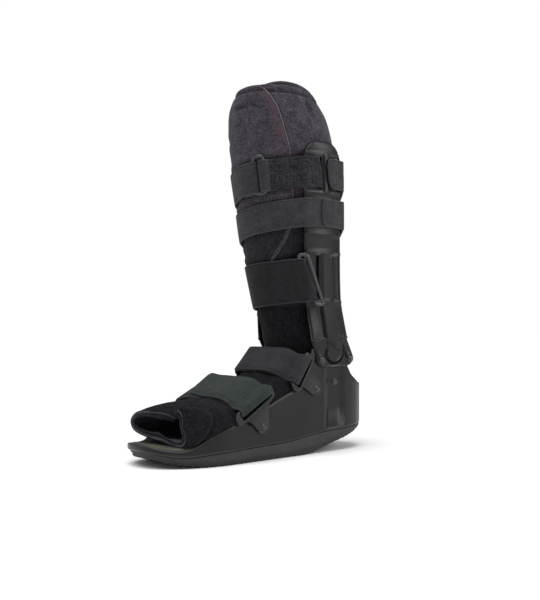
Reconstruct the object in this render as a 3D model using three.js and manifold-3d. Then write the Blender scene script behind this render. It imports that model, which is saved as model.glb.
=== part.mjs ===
// A medical walking boot: a rocker sole and a hollow plastic base, two side uprights riveted to it,
// a padded cloth liner open at the leg and at the toes, and five straps.
// Millimetres. +Z is up, the toes point to -Y, +X is the side with the strap ends.
// The origin lies on the flat of the sole, half way along it.

import * as THREE from 'three';
import { mergeVertices } from 'three/addons/utils/BufferGeometryUtils.js';
import Module from 'manifold-3d';

const wasm = await Module();
wasm.setup();

// Sole and base
const soleLength = 298;
const soleWidth = 110;
const heelWidth = 89;
const toeRoundLength = 84;
const heelRoundLength = 58;
const planSquareness = 2.35;
const ankleFromHeel = 71.5;
const bandHeight = 25;
const toeSpring = 14;
const heelLift = 25;
const soleInset = 2.4;
const treadInset = 6;
const wall = 3;
const floorThickness = 4;
const padThickness = 7;
const earHeight = 118;
const skirtInset = 1;
const skirtTop = 31;
const channelDepth = 1.2;
const channelWidth = 27;
const channelBottom = 26;
const channelSet = 8;
const gap = 0.35;

// Uprights
const uprightBottom = 97;
const uprightTop = 349;
const uprightWidth = 53;
const uprightThickness = 4;
const uprightBow = 2.5;
const uprightClear = 2.6;
const footCorner = 7;
const capRound = 20;
const bowStart = 126;
const bowLength = 40;
const ribWidth = 9;
const postWidth = 9;
const lowerWindow = { bottom: 172, top: 222 };
const upperWindow = { bottom: 295, top: 331 };

// Strap loops riveted to the base
const loopThickness = 3;
const loopFrame = 3.6;
const slotWidth = 5;
const forefootSlot = { length: 46, angle: 31.5, ahead: 0.3792 * soleLength, height: 62 };
const instepSlot = { length: 35, angle: 57, ahead: 0.151 * soleLength, height: 93.5 };
const lobeRadius = 8;

// Rivets: distance ahead of the ankle axis and height
const rivetRadius = 4.2;
const rivetHeight = 1.8;
const rivetPlaces = {
  upright_front: { ahead: 16.5, height: 105.5 },
  upright_rear: { ahead: -28.5, height: 105.5 },
  ankle: { ahead: -8.5, height: 80 },
  instep_loop: { ahead: 0.0805 * soleLength, height: 73.5 },
  forefoot_loop: { ahead: 0.344 * soleLength, height: 37.5 },
};

// Liner
const linerTop = 430;
const lobeDip = 30;
const frontLobeDrop = 20;
const frontLobeFacing = 55;
const lobeRoundness = 0.7;
const legWidth = 110;
const ankleClear = 0.7;
const legDepth = 130;
const legLean = 50;
const linerPadding = 8;
const footPadding = 5;
const flapThickness = 4;
const flapBottom = 232;
const flapFrom = 33;
const flapTo = 196;
const footWidth = 102;
const footHeight = 104;
const footShoulder = 0.36;
const footSideRoundness = 0.8;
const footCornerRoundness = 0.5;
const toeOpeningSet = 25;
const openingOver = 12;

// Straps: mid height, how much the near side lies higher, width
const strapThickness = 2.6;
const strapEndRoom = 0.5;
const strapClear = 1.45;
const legStraps = {
  lower: { height: 188.8, tilt: 6.2, width: 48 },
  mid: { height: 258, tilt: 11.7, width: 31.5 },
  top: { height: 302, tilt: 11.8, width: 34 },
};
const ringBar = 3.4;
const ringDepth = 15;
const topRingAngle = 65;
const topRingRoom = 4;
const topPileAngle = 8;
const topTabAngle = -8;
const midTab = { from: -18, to: 9, narrower: 2 };
const lowerRingAngle = 19;
const lowerRingRoom = 6;
const lowerRingLean = 12;
const lowerStrapEnd = 345;
const archPower = 4.2;
const archSlant = 0.15;
const forefootRise = 18;
const instepRise = 24;
const forefootReturn = -40;
const instepReturn = 20;

const halfWidth = soleWidth / 2;
const toeEnd = -soleLength / 2;
const heelEnd = soleLength / 2;
const ankleY = heelEnd - ankleFromHeel;

// Side outlines of the base, as shares: along the sole from the toe, and of the named height
const bandRows = [
  { along: 0, band: 0.68 }, { along: 0.05, band: 0.54 }, { along: 0.1, band: 0.46 },
  { along: 0.2, band: 0.52 }, { along: 0.4, band: 0.63 }, { along: 0.55, band: 0.7 },
  { along: 0.71, band: 0.93 }, { along: 0.8, band: 1 },
  { along: 0.93, band: 1.1 }, { along: 1, band: 1.22 },
];
const toeRows = [
  { along: 0, spring: 1 }, { along: 0.03, spring: 0.68 }, { along: 0.07, spring: 0.38 },
  { along: 0.12, spring: 0.18 }, { along: 0.18, spring: 0.06 }, { along: 0.25, spring: 0 },
];
const heelRows = [
  { along: 0.645, lift: 0 }, { along: 0.7, lift: 0.11 }, { along: 0.76, lift: 0.3 },
  { along: 0.83, lift: 0.5 }, { along: 0.93, lift: 0.8 }, { along: 1, lift: 1 },
];
const wallRows = [
  { along: 0, height: 0.22 }, { along: 0.04, height: 0.19 }, { along: 0.09, height: 0.175 },
  { along: 0.13, height: 0.19 }, { along: 0.17, height: 0.235 }, { along: 0.245, height: 0.315 },
  { along: 0.3, height: 0.36 }, { along: 0.45, height: 0.5 }, { along: 0.56, height: 0.61 },
  { along: 0.63, height: 0.68 }, { along: 0.65, height: 0.8 }, { along: 0.67, height: 1 },
  { along: 0.81, height: 1 }, { along: 0.845, height: 0.87 }, { along: 0.88, height: 0.74 },
  { along: 0.94, height: 0.65 }, { along: 1, height: 0.64 },
];

// Upright edges ahead of and behind the ankle axis, as shares of its height and width
const uprightRows = [
  { up: 0, front: 0.37, back: 0.58, out: 0 }, { up: 0.035, front: 0.41, back: 0.66, out: 0 },
  { up: 0.06, front: 0.43, back: 0.63, out: 0 }, { up: 0.12, front: 0.57, back: 0.49, out: 0 },
  { up: 0.3, front: 0.69, back: 0.3, out: 0.02 }, { up: 0.43, front: 0.75, back: 0.24, out: 0.2 },
  { up: 0.585, front: 0.82, back: 0.17, out: 0.52 }, { up: 0.74, front: 0.88, back: 0.11, out: 0.82 },
  { up: 0.87, front: 0.91, back: 0.08, out: 0.95 }, { up: 1, front: 0.93, back: 0.06, out: 1 },
];

// Leg sections: share of the liner's height; how far the width has gone from the ankle's to the calf's;
// shares of leg depth and of forward lean
const legRows = [
  { up: 0.09, width: 0, front: 0.76, back: 0.86, lean: -0.16 },
  { up: 0.18, width: 0.07, front: 0.79, back: 0.88, lean: -0.1 },
  { up: 0.28, width: 0.07, front: 0.73, back: 0.8, lean: 0.06 },
  { up: 0.4, width: -0.16, front: 0.83, back: 0.83, lean: 0.24 },
  { up: 0.48, width: 0.03, front: 0.88, back: 0.88, lean: 0.34 },
  { up: 0.56, width: 0.42, front: 0.92, back: 0.92, lean: 0.42 },
  { up: 0.645, width: 0.69, front: 0.95, back: 0.95, lean: 0.48 },
  { up: 0.73, width: 0.88, front: 1, back: 1, lean: 0.54 },
  { up: 0.82, width: 0.96, front: 0.955, back: 0.955, lean: 0.7 },
  { up: 0.89, width: 0.77, front: 0.84, back: 0.84, lean: 0.84 },
  { up: 0.93, width: 0.46, front: 0.74, back: 0.74, lean: 0.92 },
  { up: 0.965, width: 0, front: 0.62, back: 0.62, lean: 0.96 },
  { up: 1, width: -0.55, front: 0.5, back: 0.5, lean: 1 },
];

// Foot sections of the liner, from the toe opening back: shares of the sole, foot width and foot height
const footRows = [
  { along: 0, width: 0.86, top: 0.26 }, { along: 0.09, width: 0.9, top: 0.345 },
  { along: 0.2, width: 0.92, top: 0.36 }, { along: 0.33, width: 0.9, top: 0.55 },
  { along: 0.41, width: 0.88, top: 0.55 }, { along: 0.5, width: 0.86, top: 0.75 },
  { along: 0.6, width: 0.84, top: 0.97 },
];

const turn = (degrees) => THREE.MathUtils.degToRad(degrees);

function between(rows, key, column, value) {
  const last = rows.length - 1;
  if (value <= rows[0][key]) return rows[0][column];
  if (value >= rows[last][key]) return rows[last][column];
  const next = rows.findIndex((row) => row[key] >= value);
  const [low, high] = [rows[next - 1], rows[next]];
  const share = (value - low[key]) / (high[key] - low[key]);
  return low[column] + (high[column] - low[column]) * share;
}

function smooth(rows, key, column, value) {
  const last = rows.length - 1;
  if (value <= rows[0][key]) return rows[0][column];
  if (value >= rows[last][key]) return rows[last][column];
  const next = rows.findIndex((row) => row[key] >= value);
  const at = (i) => rows[Math.min(Math.max(i, 0), last)];
  const [p0, p1, p2, p3] = [at(next - 2), at(next - 1), at(next), at(next + 1)];
  const t = (value - p1[key]) / (p2[key] - p1[key]);
  const width = p2[key] - p1[key];
  const slope = (a, b) => (b[key] === a[key] ? 0 : ((b[column] - a[column]) / (b[key] - a[key])) * width);
  const [m1, m2] = [slope(p0, p2), slope(p1, p3)];
  return (2 * t ** 3 - 3 * t ** 2 + 1) * p1[column] + (t ** 3 - 2 * t ** 2 + t) * m1
    + (-2 * t ** 3 + 3 * t ** 2) * p2[column] + (t ** 3 - t ** 2) * m2;
}

// Closed body through rings of equal count, each ring anticlockwise seen from the last ring
function loft(rings) {
  const count = rings[0].length;
  const points = rings.flat();
  const faces = [];
  for (let r = 0; r < rings.length - 1; r++) {
    for (let i = 0; i < count; i++) {
      const j = (i + 1) % count;
      const [a, b, c, d] = [r * count + i, r * count + j, (r + 1) * count + j, (r + 1) * count + i];
      faces.push(a, b, c, a, c, d);
    }
  }
  const middle = (ring) => ring.reduce((sum, p) => sum.add(p), new THREE.Vector3()).divideScalar(count);
  const first = points.push(middle(rings[0])) - 1;
  const last = points.push(middle(rings[rings.length - 1])) - 1;
  const top = (rings.length - 1) * count;
  for (let i = 0; i < count; i++) {
    const j = (i + 1) % count;
    faces.push(first, j, i);
    faces.push(last, top + i, top + j);
  }
  const geometry = new THREE.BufferGeometry().setFromPoints(points);
  geometry.setIndex(faces);
  return geometry;
}

// Band swept through four-cornered sections; a closed band joins its last section to its first
function band(sections, closed) {
  const points = sections.flat();
  const faces = [];
  const total = sections.length;
  const steps = closed ? total : total - 1;
  for (let s = 0; s < steps; s++) {
    const t = (s + 1) % total;
    for (let i = 0; i < 4; i++) {
      const j = (i + 1) % 4;
      const [a, b, c, d] = [s * 4 + i, s * 4 + j, t * 4 + j, t * 4 + i];
      faces.push(a, b, c, a, c, d);
    }
  }
  if (!closed) {
    const e = (total - 1) * 4;
    faces.push(0, 2, 1, 0, 3, 2, e, e + 1, e + 2, e, e + 2, e + 3);
  }
  const geometry = new THREE.BufferGeometry().setFromPoints(points);
  geometry.setIndex(faces);
  return geometry;
}

function solid(geometry) {
  const bare = geometry.clone();
  for (const name of ['normal', 'uv']) bare.deleteAttribute(name);
  const merged = mergeVertices(bare, 1e-4);
  const vertProperties = new Float32Array(merged.attributes.position.array);
  const triVerts = new Uint32Array(merged.index.array);
  return new wasm.Manifold(new wasm.Mesh({ numProp: 3, vertProperties, triVerts }));
}

function geometryOf(manifold) {
  const mesh = manifold.getMesh();
  const geometry = new THREE.BufferGeometry();
  geometry.setAttribute('position', new THREE.BufferAttribute(new Float32Array(mesh.vertProperties), 3));
  geometry.setIndex(new THREE.BufferAttribute(new Uint32Array(mesh.triVerts), 1));
  return geometry;
}

// Side shape given in (y, z), extruded across the boot from x = low to x = high
function sideSlab(shape, low, high) {
  const depth = high - low;
  const geometry = new THREE.ExtrudeGeometry(shape, { depth, bevelEnabled: false, curveSegments: 8 });
  const standing = new THREE.Matrix4().makeBasis(
    new THREE.Vector3(0, 1, 0), new THREE.Vector3(0, 0, 1), new THREE.Vector3(1, 0, 0));
  geometry.applyMatrix4(standing);
  geometry.translate(low, 0, 0);
  return geometry;
}

function yAlong(along) {
  return toeEnd + along * soleLength;
}

function sidePolygon(lower, upper) {
  const points = [...lower, ...[...upper].reverse()];
  return new THREE.Shape(points.map(([y, z]) => new THREE.Vector2(y, z)));
}

// What lies under each rivet's head, outside the base's wall
const rivetSeats = {
  upright_front: uprightThickness, upright_rear: uprightThickness, ankle: -channelDepth,
  instep_loop: loopThickness, forefoot_loop: loopThickness,
};

// Half width of the base at a place along the boot: it narrows evenly from the ball of the foot to the heel
const toeBase = toeEnd + toeRoundLength;
const heelBase = heelEnd - heelRoundLength;

function sideX(y) {
  const share = Math.min(1, Math.max(0, (y - toeBase) / (heelBase - toeBase)));
  return (soleWidth + (heelWidth - soleWidth) * share) / 2;
}

// Plan outline of the base, drawn in by an inset: round toe, tapering sides, round heel
function planRing(inset, z) {
  const points = [];
  const steps = 14;
  const power = 2 / planSquareness;
  const arc = (width, base, length) => {
    for (let i = 0; i <= steps; i++) {
      const angle = (i / steps) * Math.PI;
      const x = width * Math.sign(Math.cos(angle)) * Math.abs(Math.cos(angle)) ** power;
      points.push(new THREE.Vector3(x, base + length * Math.sin(angle) ** power, z));
    }
  };
  arc(inset - sideX(toeBase), toeBase, inset - toeRoundLength);
  arc(sideX(heelBase) - inset, heelBase, heelRoundLength - inset);
  return points;
}

// Moves a piece drawn against a flat side out to the tapering side of the base
function againstSide(geometry) {
  const p = geometry.attributes.position;
  for (let i = 0; i < p.count; i++) p.setX(i, p.getX(i) + sideX(p.getY(i)) + gap);
  return geometry;
}

function planSolid(levels) {
  return solid(loft(levels.map(({ inset, z }) => planRing(inset, z))));
}

function bandHeightAt(along) {
  return bandHeight * smooth(bandRows, 'along', 'band', along);
}

function wallHeightAt(along) {
  return earHeight * between(wallRows, 'along', 'height', along);
}

function bottomAt(along) {
  const toe = toeSpring * smooth(toeRows, 'along', 'spring', along);
  const heel = heelLift * smooth(heelRows, 'along', 'lift', along);
  return toe + heel;
}

function sideLine(heightAt, shift, stations) {
  return stations.map((along) => [yAlong(along), heightAt(along) + shift]);
}

const rowStations = [...bandRows, ...toeRows, ...heelRows, ...wallRows].map((row) => row.along);
const stations = [-0.02, ...[...new Set(rowStations)].sort((a, b) => a - b), 1.02];
const reach = halfWidth + 20;
const skyHigh = linerTop + 40;

function outsole() {
  const body = planSolid([{ inset: treadInset, z: -1 }, { inset: soleInset, z: bandHeight * 1.4 }]);
  const side = sidePolygon(sideLine(bottomAt, 0, stations), sideLine(bandHeightAt, -gap, stations));
  return body.intersect(solid(sideSlab(side, -reach, reach)));
}

function innerSide(shift) {
  const over = stations.map((along) => [yAlong(along), skyHigh]);
  return sidePolygon(sideLine(bandHeightAt, shift, stations), over);
}

function cavity() {
  return planSolid([{ inset: wall, z: 0 }, { inset: wall, z: skyHigh + 1 }])
    .intersect(solid(sideSlab(innerSide(floorThickness), -reach, reach)));
}

function baseShell() {
  const body = planSolid([
    { inset: skirtInset, z: 0 }, { inset: 0, z: skirtTop }, { inset: 0, z: skyHigh },
  ]);
  const side = sidePolygon(sideLine(bandHeightAt, 0, stations), sideLine(wallHeightAt, 0, stations));
  const shell = body.intersect(solid(sideSlab(side, -reach, reach))).subtract(cavity());
  const channelY = ankleY + channelSet;
  const channel = new THREE.Shape([
    new THREE.Vector2(channelY - channelWidth / 2, channelBottom),
    new THREE.Vector2(channelY + channelWidth / 2, channelBottom + 1),
    new THREE.Vector2(channelY + channelWidth / 2, uprightBottom - gap),
    new THREE.Vector2(channelY - channelWidth / 2, uprightBottom - gap),
  ]);
  const recess = solid(againstSide(sideSlab(channel, -channelDepth - gap, reach)));
  return shell.subtract(recess).subtract(recess.mirror([1, 0, 0]));
}

function insolePad() {
  const body = planSolid([{ inset: wall + gap, z: 0 }, { inset: wall + gap, z: skyHigh }]);
  const low = sideLine(bandHeightAt, floorThickness + gap, stations);
  const high = sideLine(bandHeightAt, floorThickness + gap + padThickness, stations);
  return body.intersect(solid(sideSlab(sidePolygon(low, high), -reach, reach)));
}

// Upright: its front and back edges, middle line and outer face at a height
function uprightEdges(z) {
  const up = (z - uprightBottom) / (uprightTop - uprightBottom);
  const front = ankleY - uprightWidth * between(uprightRows, 'up', 'front', up);
  const back = ankleY + uprightWidth * between(uprightRows, 'up', 'back', up);
  return { front, back, middle: (front + back) / 2, half: (back - front) / 2 };
}

function uprightOuter(z) {
  const up = (z - uprightBottom) / (uprightTop - uprightBottom);
  const flare = legWidth / 2 + uprightClear - sideX(ankleY);
  return sideX(ankleY) + gap + uprightThickness + flare * smooth(uprightRows, 'up', 'out', up);
}

function uprightPlate() {
  const rings = [];
  const across = 6;
  for (const row of uprightRows) {
    const z = uprightBottom + row.up * (uprightTop - uprightBottom);
    const { middle, half } = uprightEdges(z);
    const bow = uprightBow * Math.min(1, Math.max(0, (z - bowStart) / bowLength));
    const fade = 1 - THREE.MathUtils.smoothstep(row.up, 0.1, 0.3);
    const taper = (u) => fade * (sideX(middle + u * half) - sideX(ankleY));
    const face = (u, depth) => new THREE.Vector3(
      uprightOuter(z) + taper(u) - depth - bow * u * u, middle + u * half, z);
    const ring = [];
    for (let i = 0; i <= across; i++) ring.push(face((2 * i) / across - 1, 0));
    for (let i = across; i >= 0; i--) ring.push(face((2 * i) / across - 1, uprightThickness));
    rings.push(ring);
  }
  return solid(loft(rings));
}

// Round cap and round foot corners that the plate is trimmed to
function uprightTrim() {
  const shape = new THREE.Shape();
  const low = uprightBottom;
  const foot = uprightEdges(low);
  const head = uprightEdges(uprightTop);
  const out = 2 * uprightWidth;
  shape.moveTo(foot.front - 1, low + footCorner);
  shape.quadraticCurveTo(foot.front - 1, low, foot.front + footCorner, low);
  shape.lineTo(foot.back - footCorner, low);
  shape.quadraticCurveTo(foot.back + 1, low, foot.back + 1, low + footCorner);
  shape.lineTo(foot.back + out, low + footCorner);
  shape.lineTo(head.back + out, uprightTop - capRound);
  shape.lineTo(head.back, uprightTop - capRound);
  shape.quadraticCurveTo(head.back, uprightTop, head.back - capRound, uprightTop);
  shape.lineTo(head.front + capRound, uprightTop);
  shape.quadraticCurveTo(head.front, uprightTop, head.front, uprightTop - capRound);
  shape.lineTo(head.front - out, uprightTop - capRound);
  shape.lineTo(foot.front - out, low + footCorner);
  return shape;
}

// A window with the central rib left standing in it
function windowShapes({ bottom, top }) {
  return [-1, 1].map((side) => {
    const edge = (z, out) => uprightEdges(z).middle
      + side * (out ? uprightEdges(z).half - postWidth : ribWidth / 2);
    return new THREE.Shape([
      new THREE.Vector2(edge(bottom, false), bottom), new THREE.Vector2(edge(bottom, true), bottom),
      new THREE.Vector2(edge(top, true), top), new THREE.Vector2(edge(top, false), top),
    ]);
  });
}

function upright(side) {
  const [low, high] = [halfWidth - 30, reach + 20];
  let plate = uprightPlate().intersect(solid(sideSlab(uprightTrim(), low, high)));
  for (const opening of [lowerWindow, upperWindow]) {
    for (const shape of windowShapes(opening)) plate = plate.subtract(solid(sideSlab(shape, low, high)));
  }
  return side > 0 ? plate : plate.mirror([1, 0, 0]);
}

// Strap loop: a slotted frame along the slot's slope, with a riveted lobe below it
function loopOutline(slot, rivet) {
  const half = slot.length / 2 + loopFrame;
  const deep = slotWidth / 2 + loopFrame;
  const at = slotPoint(slot);
  const lobe = new THREE.Vector2(ankleY - rivet.ahead, rivet.height);
  const shape = new THREE.Shape();
  const start = at(-half, deep - 2);
  shape.moveTo(start.x, start.y);
  const line = (p) => shape.lineTo(p.x, p.y);
  line(at(-half + 3, -deep));
  const toLobe = lobe.clone().sub(at(0, -deep)).normalize();
  const across = new THREE.Vector2(-toLobe.y, toLobe.x).multiplyScalar(lobeRadius);
  line(at(-half * 0.3, -deep));
  for (let i = 0; i <= 4; i++) {
    const angle = (i / 4 - 0.5) * Math.PI;
    const tip = toLobe.clone().multiplyScalar(lobeRadius * Math.cos(angle));
    line(lobe.clone().add(tip).addScaledVector(across, Math.sin(angle)));
  }
  line(at(half, -deep));
  line(at(half, deep - 2));
  line(at(half - 3, deep));
  line(at(-half + 3, deep));
  const hole = new THREE.Path([
    at(-slot.length / 2, -slotWidth / 2), at(slot.length / 2, -slotWidth / 2),
    at(slot.length / 2, slotWidth / 2), at(-slot.length / 2, slotWidth / 2),
  ]);
  shape.holes.push(hole);
  return shape;
}

// Point of a slot's own plane in the side view: along the slot and out of it, away from the sole
function slotPoint(slot) {
  const angle = turn(slot.angle);
  const middle = new THREE.Vector2(ankleY - slot.ahead, slot.height);
  const along = new THREE.Vector2(Math.cos(angle), Math.sin(angle));
  const out = new THREE.Vector2(-Math.sin(angle), Math.cos(angle));
  return (a, b) => middle.clone().addScaledVector(along, a).addScaledVector(out, b);
}

function strapLoop(slot, rivet, side) {
  const plate = solid(againstSide(sideSlab(loopOutline(slot, rivet), 0, loopThickness)));
  return side > 0 ? plate : plate.mirror([1, 0, 0]);
}

function rivet({ ahead, height }, under, side) {
  const profile = [[0, 0], [rivetRadius, 0], [rivetRadius, rivetHeight * 0.35],
    [rivetRadius * 0.7, rivetHeight * 0.85], [0, rivetHeight]].map(([r, h]) => new THREE.Vector2(r, h));
  const geometry = new THREE.LatheGeometry(profile, 12);
  geometry.rotateZ(-Math.PI / 2);
  geometry.translate(under, ankleY - ahead, height);
  const head = solid(againstSide(geometry));
  return side > 0 ? head : head.mirror([1, 0, 0]);
}

// Leg surface: angle 0 is the +X side and a quarter turn is the front
function legPoint(z, angle, offset) {
  const up = z / linerTop;
  const ankle = heelWidth / 2 - wall - ankleClear;
  const width = ankle + (legWidth / 2 - ankle) * smooth(legRows, 'up', 'width', up) + offset;
  const column = Math.sin(angle) > 0 ? 'front' : 'back';
  const depth = (legDepth / 2) * smooth(legRows, 'up', column, up) + offset;
  const middle = ankleY - legLean * smooth(legRows, 'up', 'lean', up);
  return new THREE.Vector3(width * Math.cos(angle), middle - depth * Math.sin(angle), z);
}

// The liner's top edge rises in a front lobe and a higher back lobe
function lobeTop(angle) {
  const facing = Math.cos(angle - turn(frontLobeFacing));
  const front = Math.max(0, facing);
  return linerTop - lobeDip * (1 - Math.abs(facing) ** lobeRoundness) - frontLobeDrop * front;
}

function legBody(bottom, offset, over) {
  const count = 32;
  const rings = legRows.map((row, k) => {
    const ring = [];
    for (let i = 0; i < count; i++) {
      const angle = (-i / count) * 2 * Math.PI;
      const share = k / (legRows.length - 1);
      const upper = linerTop + over;
      const level = bottom + ((row.up - legRows[0].up) / (1 - legRows[0].up)) * (upper - bottom);
      const z = level + (lobeTop(angle) - linerTop) * share ** 3;
      const p = legPoint(Math.min(z, linerTop), angle, offset);
      ring.push(new THREE.Vector3(p.x, p.y, z));
    }
    return ring;
  });
  return solid(loft(rings));
}

// Wedge round the front of the leg that the outer flap of the liner fills
function flapZone(grow) {
  const middle = ankleY - legLean * 0.7;
  const steps = 8;
  const shape = new THREE.Shape([new THREE.Vector2(0, middle)]);
  for (let i = 0; i <= steps; i++) {
    const angle = turn(flapFrom - grow + ((flapTo - flapFrom + 2 * grow) * i) / steps);
    shape.lineTo(2 * legWidth * Math.cos(angle), middle - 2 * legWidth * Math.sin(angle));
  }
  const geometry = new THREE.ExtrudeGeometry(shape, { depth: linerTop, bevelEnabled: false });
  geometry.translate(0, 0, flapBottom - grow);
  return solid(geometry);
}

function footRing(along, y, inset, bottomShift) {
  const ring = [];
  const count = 20;
  const w = (footWidth / 2) * smooth(footRows, 'along', 'width', along) - inset;
  const floor = bandHeightAt((y - toeEnd) / soleLength) + floorThickness + padThickness;
  const under = floor + 3 * gap + bottomShift;
  const top = footHeight * smooth(footRows, 'along', 'top', along) + bandHeight - inset;
  for (let i = 0; i < count; i++) {
    const angle = (i / count) * 2 * Math.PI;
    const [across, rise] = [Math.cos(angle), Math.sin(angle)];
    const power = rise > 0 ? 1 : footCornerRoundness;
    const mid = under + (top - under) * footShoulder;
    const height = rise > 0 ? top - mid : mid - under;
    const x = w * Math.sign(across) * Math.abs(across) ** (power * footSideRoundness);
    ring.push(new THREE.Vector3(x, y, mid + height * Math.sign(rise) * Math.abs(rise) ** power));
  }
  return ring;
}

function footBody(inset, bottomShift, startShift) {
  const start = toeEnd + toeOpeningSet;
  const rings = footRows.map((row, k) => {
    const y = start + row.along * soleLength + (k === 0 ? startShift : 0);
    return footRing(row.along, y, inset, bottomShift);
  });
  return solid(loft(rings.reverse()));
}

const linerFloor = bandHeightAt(0.8) + floorThickness + padThickness + 3 * gap + 2;

// Room that the base's walls take up, out from the inside of the wall
function wallRoom() {
  const block = new THREE.BoxGeometry(2 * reach, 2 * soleLength, earHeight + gap);
  block.translate(0, 0, (earHeight + gap) / 2);
  const inset = wall + gap;
  return solid(block).subtract(planSolid([{ inset, z: -1 }, { inset, z: skyHigh }]));
}

function liner() {
  const outer = legBody(linerFloor, 0, 0).add(footBody(0, 0, 0)).subtract(wallRoom());
  const legHollow = legBody(linerFloor + footPadding, -linerPadding, openingOver);
  const footHollow = footBody(footPadding, footPadding, -openingOver);
  const bed = sideSlab(innerSide(floorThickness + padThickness + 2 * gap), -reach, reach);
  const behindFlap = legBody(linerFloor, -flapThickness - gap, openingOver);
  const overFlap = legBody(linerFloor, flapThickness, openingOver);
  const flapRoom = overFlap.subtract(behindFlap).intersect(flapZone(1));
  return outer.intersect(solid(bed)).subtract(legHollow).subtract(footHollow).subtract(flapRoom);
}

function linerFlap() {
  const layer = legBody(linerFloor, 0, 0).subtract(legBody(linerFloor, -flapThickness, openingOver));
  return layer.intersect(flapZone(0));
}

// Tight outline round the liner at a height, and round the uprights on the given sides of it
function wrapOutline(z, sides) {
  const points = [];
  const around = 48;
  for (let i = 0; i < around; i++) {
    const p = legPoint(z, turn((i * 360) / around), 0);
    points.push([p.x, p.y]);
  }
  const { front, middle, back } = uprightEdges(z);
  for (const side of sides) {
    const face = side * uprightOuter(z);
    points.push([face - side * uprightBow, front], [face, middle], [face - side * uprightBow, back]);
  }
  points.sort((p, q) => p[0] - q[0] || p[1] - q[1]);
  const half = (list) => {
    const chain = [];
    for (const p of list) {
      while (chain.length > 1) {
        const [o, q] = chain.slice(-2);
        if ((q[0] - o[0]) * (p[1] - o[1]) - (q[1] - o[1]) * (p[0] - o[0]) > 0) break;
        chain.pop();
      }
      chain.push(p);
    }
    return chain.slice(0, -1);
  };
  return [...half(points), ...half([...points].reverse())];
}

// Point of that outline at an angle round the leg, moved out by an offset
function wrapPoint(z, angle, offset, sides) {
  const hull = wrapOutline(z, sides);
  const middle = ankleY - legLean * smooth(legRows, 'up', 'lean', z / linerTop);
  const [dx, dy] = [Math.cos(angle), -Math.sin(angle)];
  let distance = 0;
  hull.forEach((p, i) => {
    const q = hull[(i + 1) % hull.length];
    const [px, py] = [p[0], p[1] - middle];
    const [ex, ey] = [q[0] - p[0], q[1] - p[1]];
    const cross = dx * ey - dy * ex;
    const along = (px * ey - py * ex) / cross;
    const share = (px * dy - py * dx) / cross;
    if (along > 0 && share >= 0 && share <= 1) distance = Math.max(distance, along);
  });
  return new THREE.Vector3(dx * (distance + offset), middle + dy * (distance + offset), z);
}

function legStrap({ height, tilt, width }, from, to, steps, sidesAt, { closed = false, layer = 0 } = {}) {
  const sections = [];
  const total = closed ? steps - 1 : steps;
  const half = width / 2;
  const inner = strapClear + layer * (strapThickness + gap);
  for (let i = 0; i <= total; i++) {
    const angle = turn(from + ((to - from) * i) / steps);
    const middle = height + tilt * Math.cos(angle);
    const at = (dz, extra) => wrapPoint(middle + dz, angle, inner + extra, sidesAt(angle));
    sections.push([at(-half, 0), at(-half, strapThickness), at(half, strapThickness), at(half, 0)]);
  }
  return solid(band(sections, closed));
}

const bothSides = () => [-1, 1];
const nearFrontOnly = (angle) => (angle < Math.PI / 2 ? [1] : []);

function midStrap() {
  return legStrap(legStraps.mid, 0, 360, 64, bothSides, { closed: true });
}

function midStrapTab() {
  const tab = { ...legStraps.mid, width: legStraps.mid.width - midTab.narrower };
  return legStrap(tab, midTab.from, midTab.to, 4, bothSides, { layer: 1 });
}

function topStrap() {
  return legStrap(legStraps.top, topRingAngle + topRingRoom, 360 + topTabAngle, 52, bothSides);
}

function topStrapPile() {
  return legStrap(legStraps.top, topPileAngle, topRingAngle - topRingRoom, 10, bothSides);
}

function lowerStrap() {
  const from = lowerRingAngle + lowerRingRoom;
  return legStrap(legStraps.lower, from, lowerStrapEnd, 52, nearFrontOnly);
}

// Rectangular loop lying against the leg, its opening seen from outside
function ring({ height, tilt, width }, degrees, lean) {
  const angle = turn(degrees);
  const z = height + tilt * Math.cos(angle);
  const half = width / 2 + ringBar + 1;
  const shape = new THREE.Shape([[-1, -1], [1, -1], [1, 1], [-1, 1]].map(
    ([a, b]) => new THREE.Vector2((a * ringDepth) / 2, b * half)));
  shape.holes.push(new THREE.Path([[-1, -1], [1, -1], [1, 1], [-1, 1]].map(
    ([a, b]) => new THREE.Vector2(a * (ringDepth / 2 - ringBar), b * (half - ringBar)))));
  const geometry = new THREE.ExtrudeGeometry(shape, { depth: ringBar, bevelEnabled: false });
  const seatAt = (turned, level) => wrapPoint(level, turned, strapClear + strapThickness + gap, [-1, 1]);
  const along = seatAt(angle - 0.1, z).sub(seatAt(angle + 0.1, z)).normalize();
  const up = seatAt(angle, z + half).sub(seatAt(angle, z - half)).normalize();
  const outwards = along.clone().cross(up).normalize();
  up.crossVectors(outwards, along);
  geometry.rotateZ(turn(lean));
  geometry.applyMatrix4(new THREE.Matrix4().makeBasis(along, up, outwards));
  const seat = seatAt(angle, z);
  geometry.translate(seat.x, seat.y, seat.z);
  return solid(geometry);
}

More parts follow.
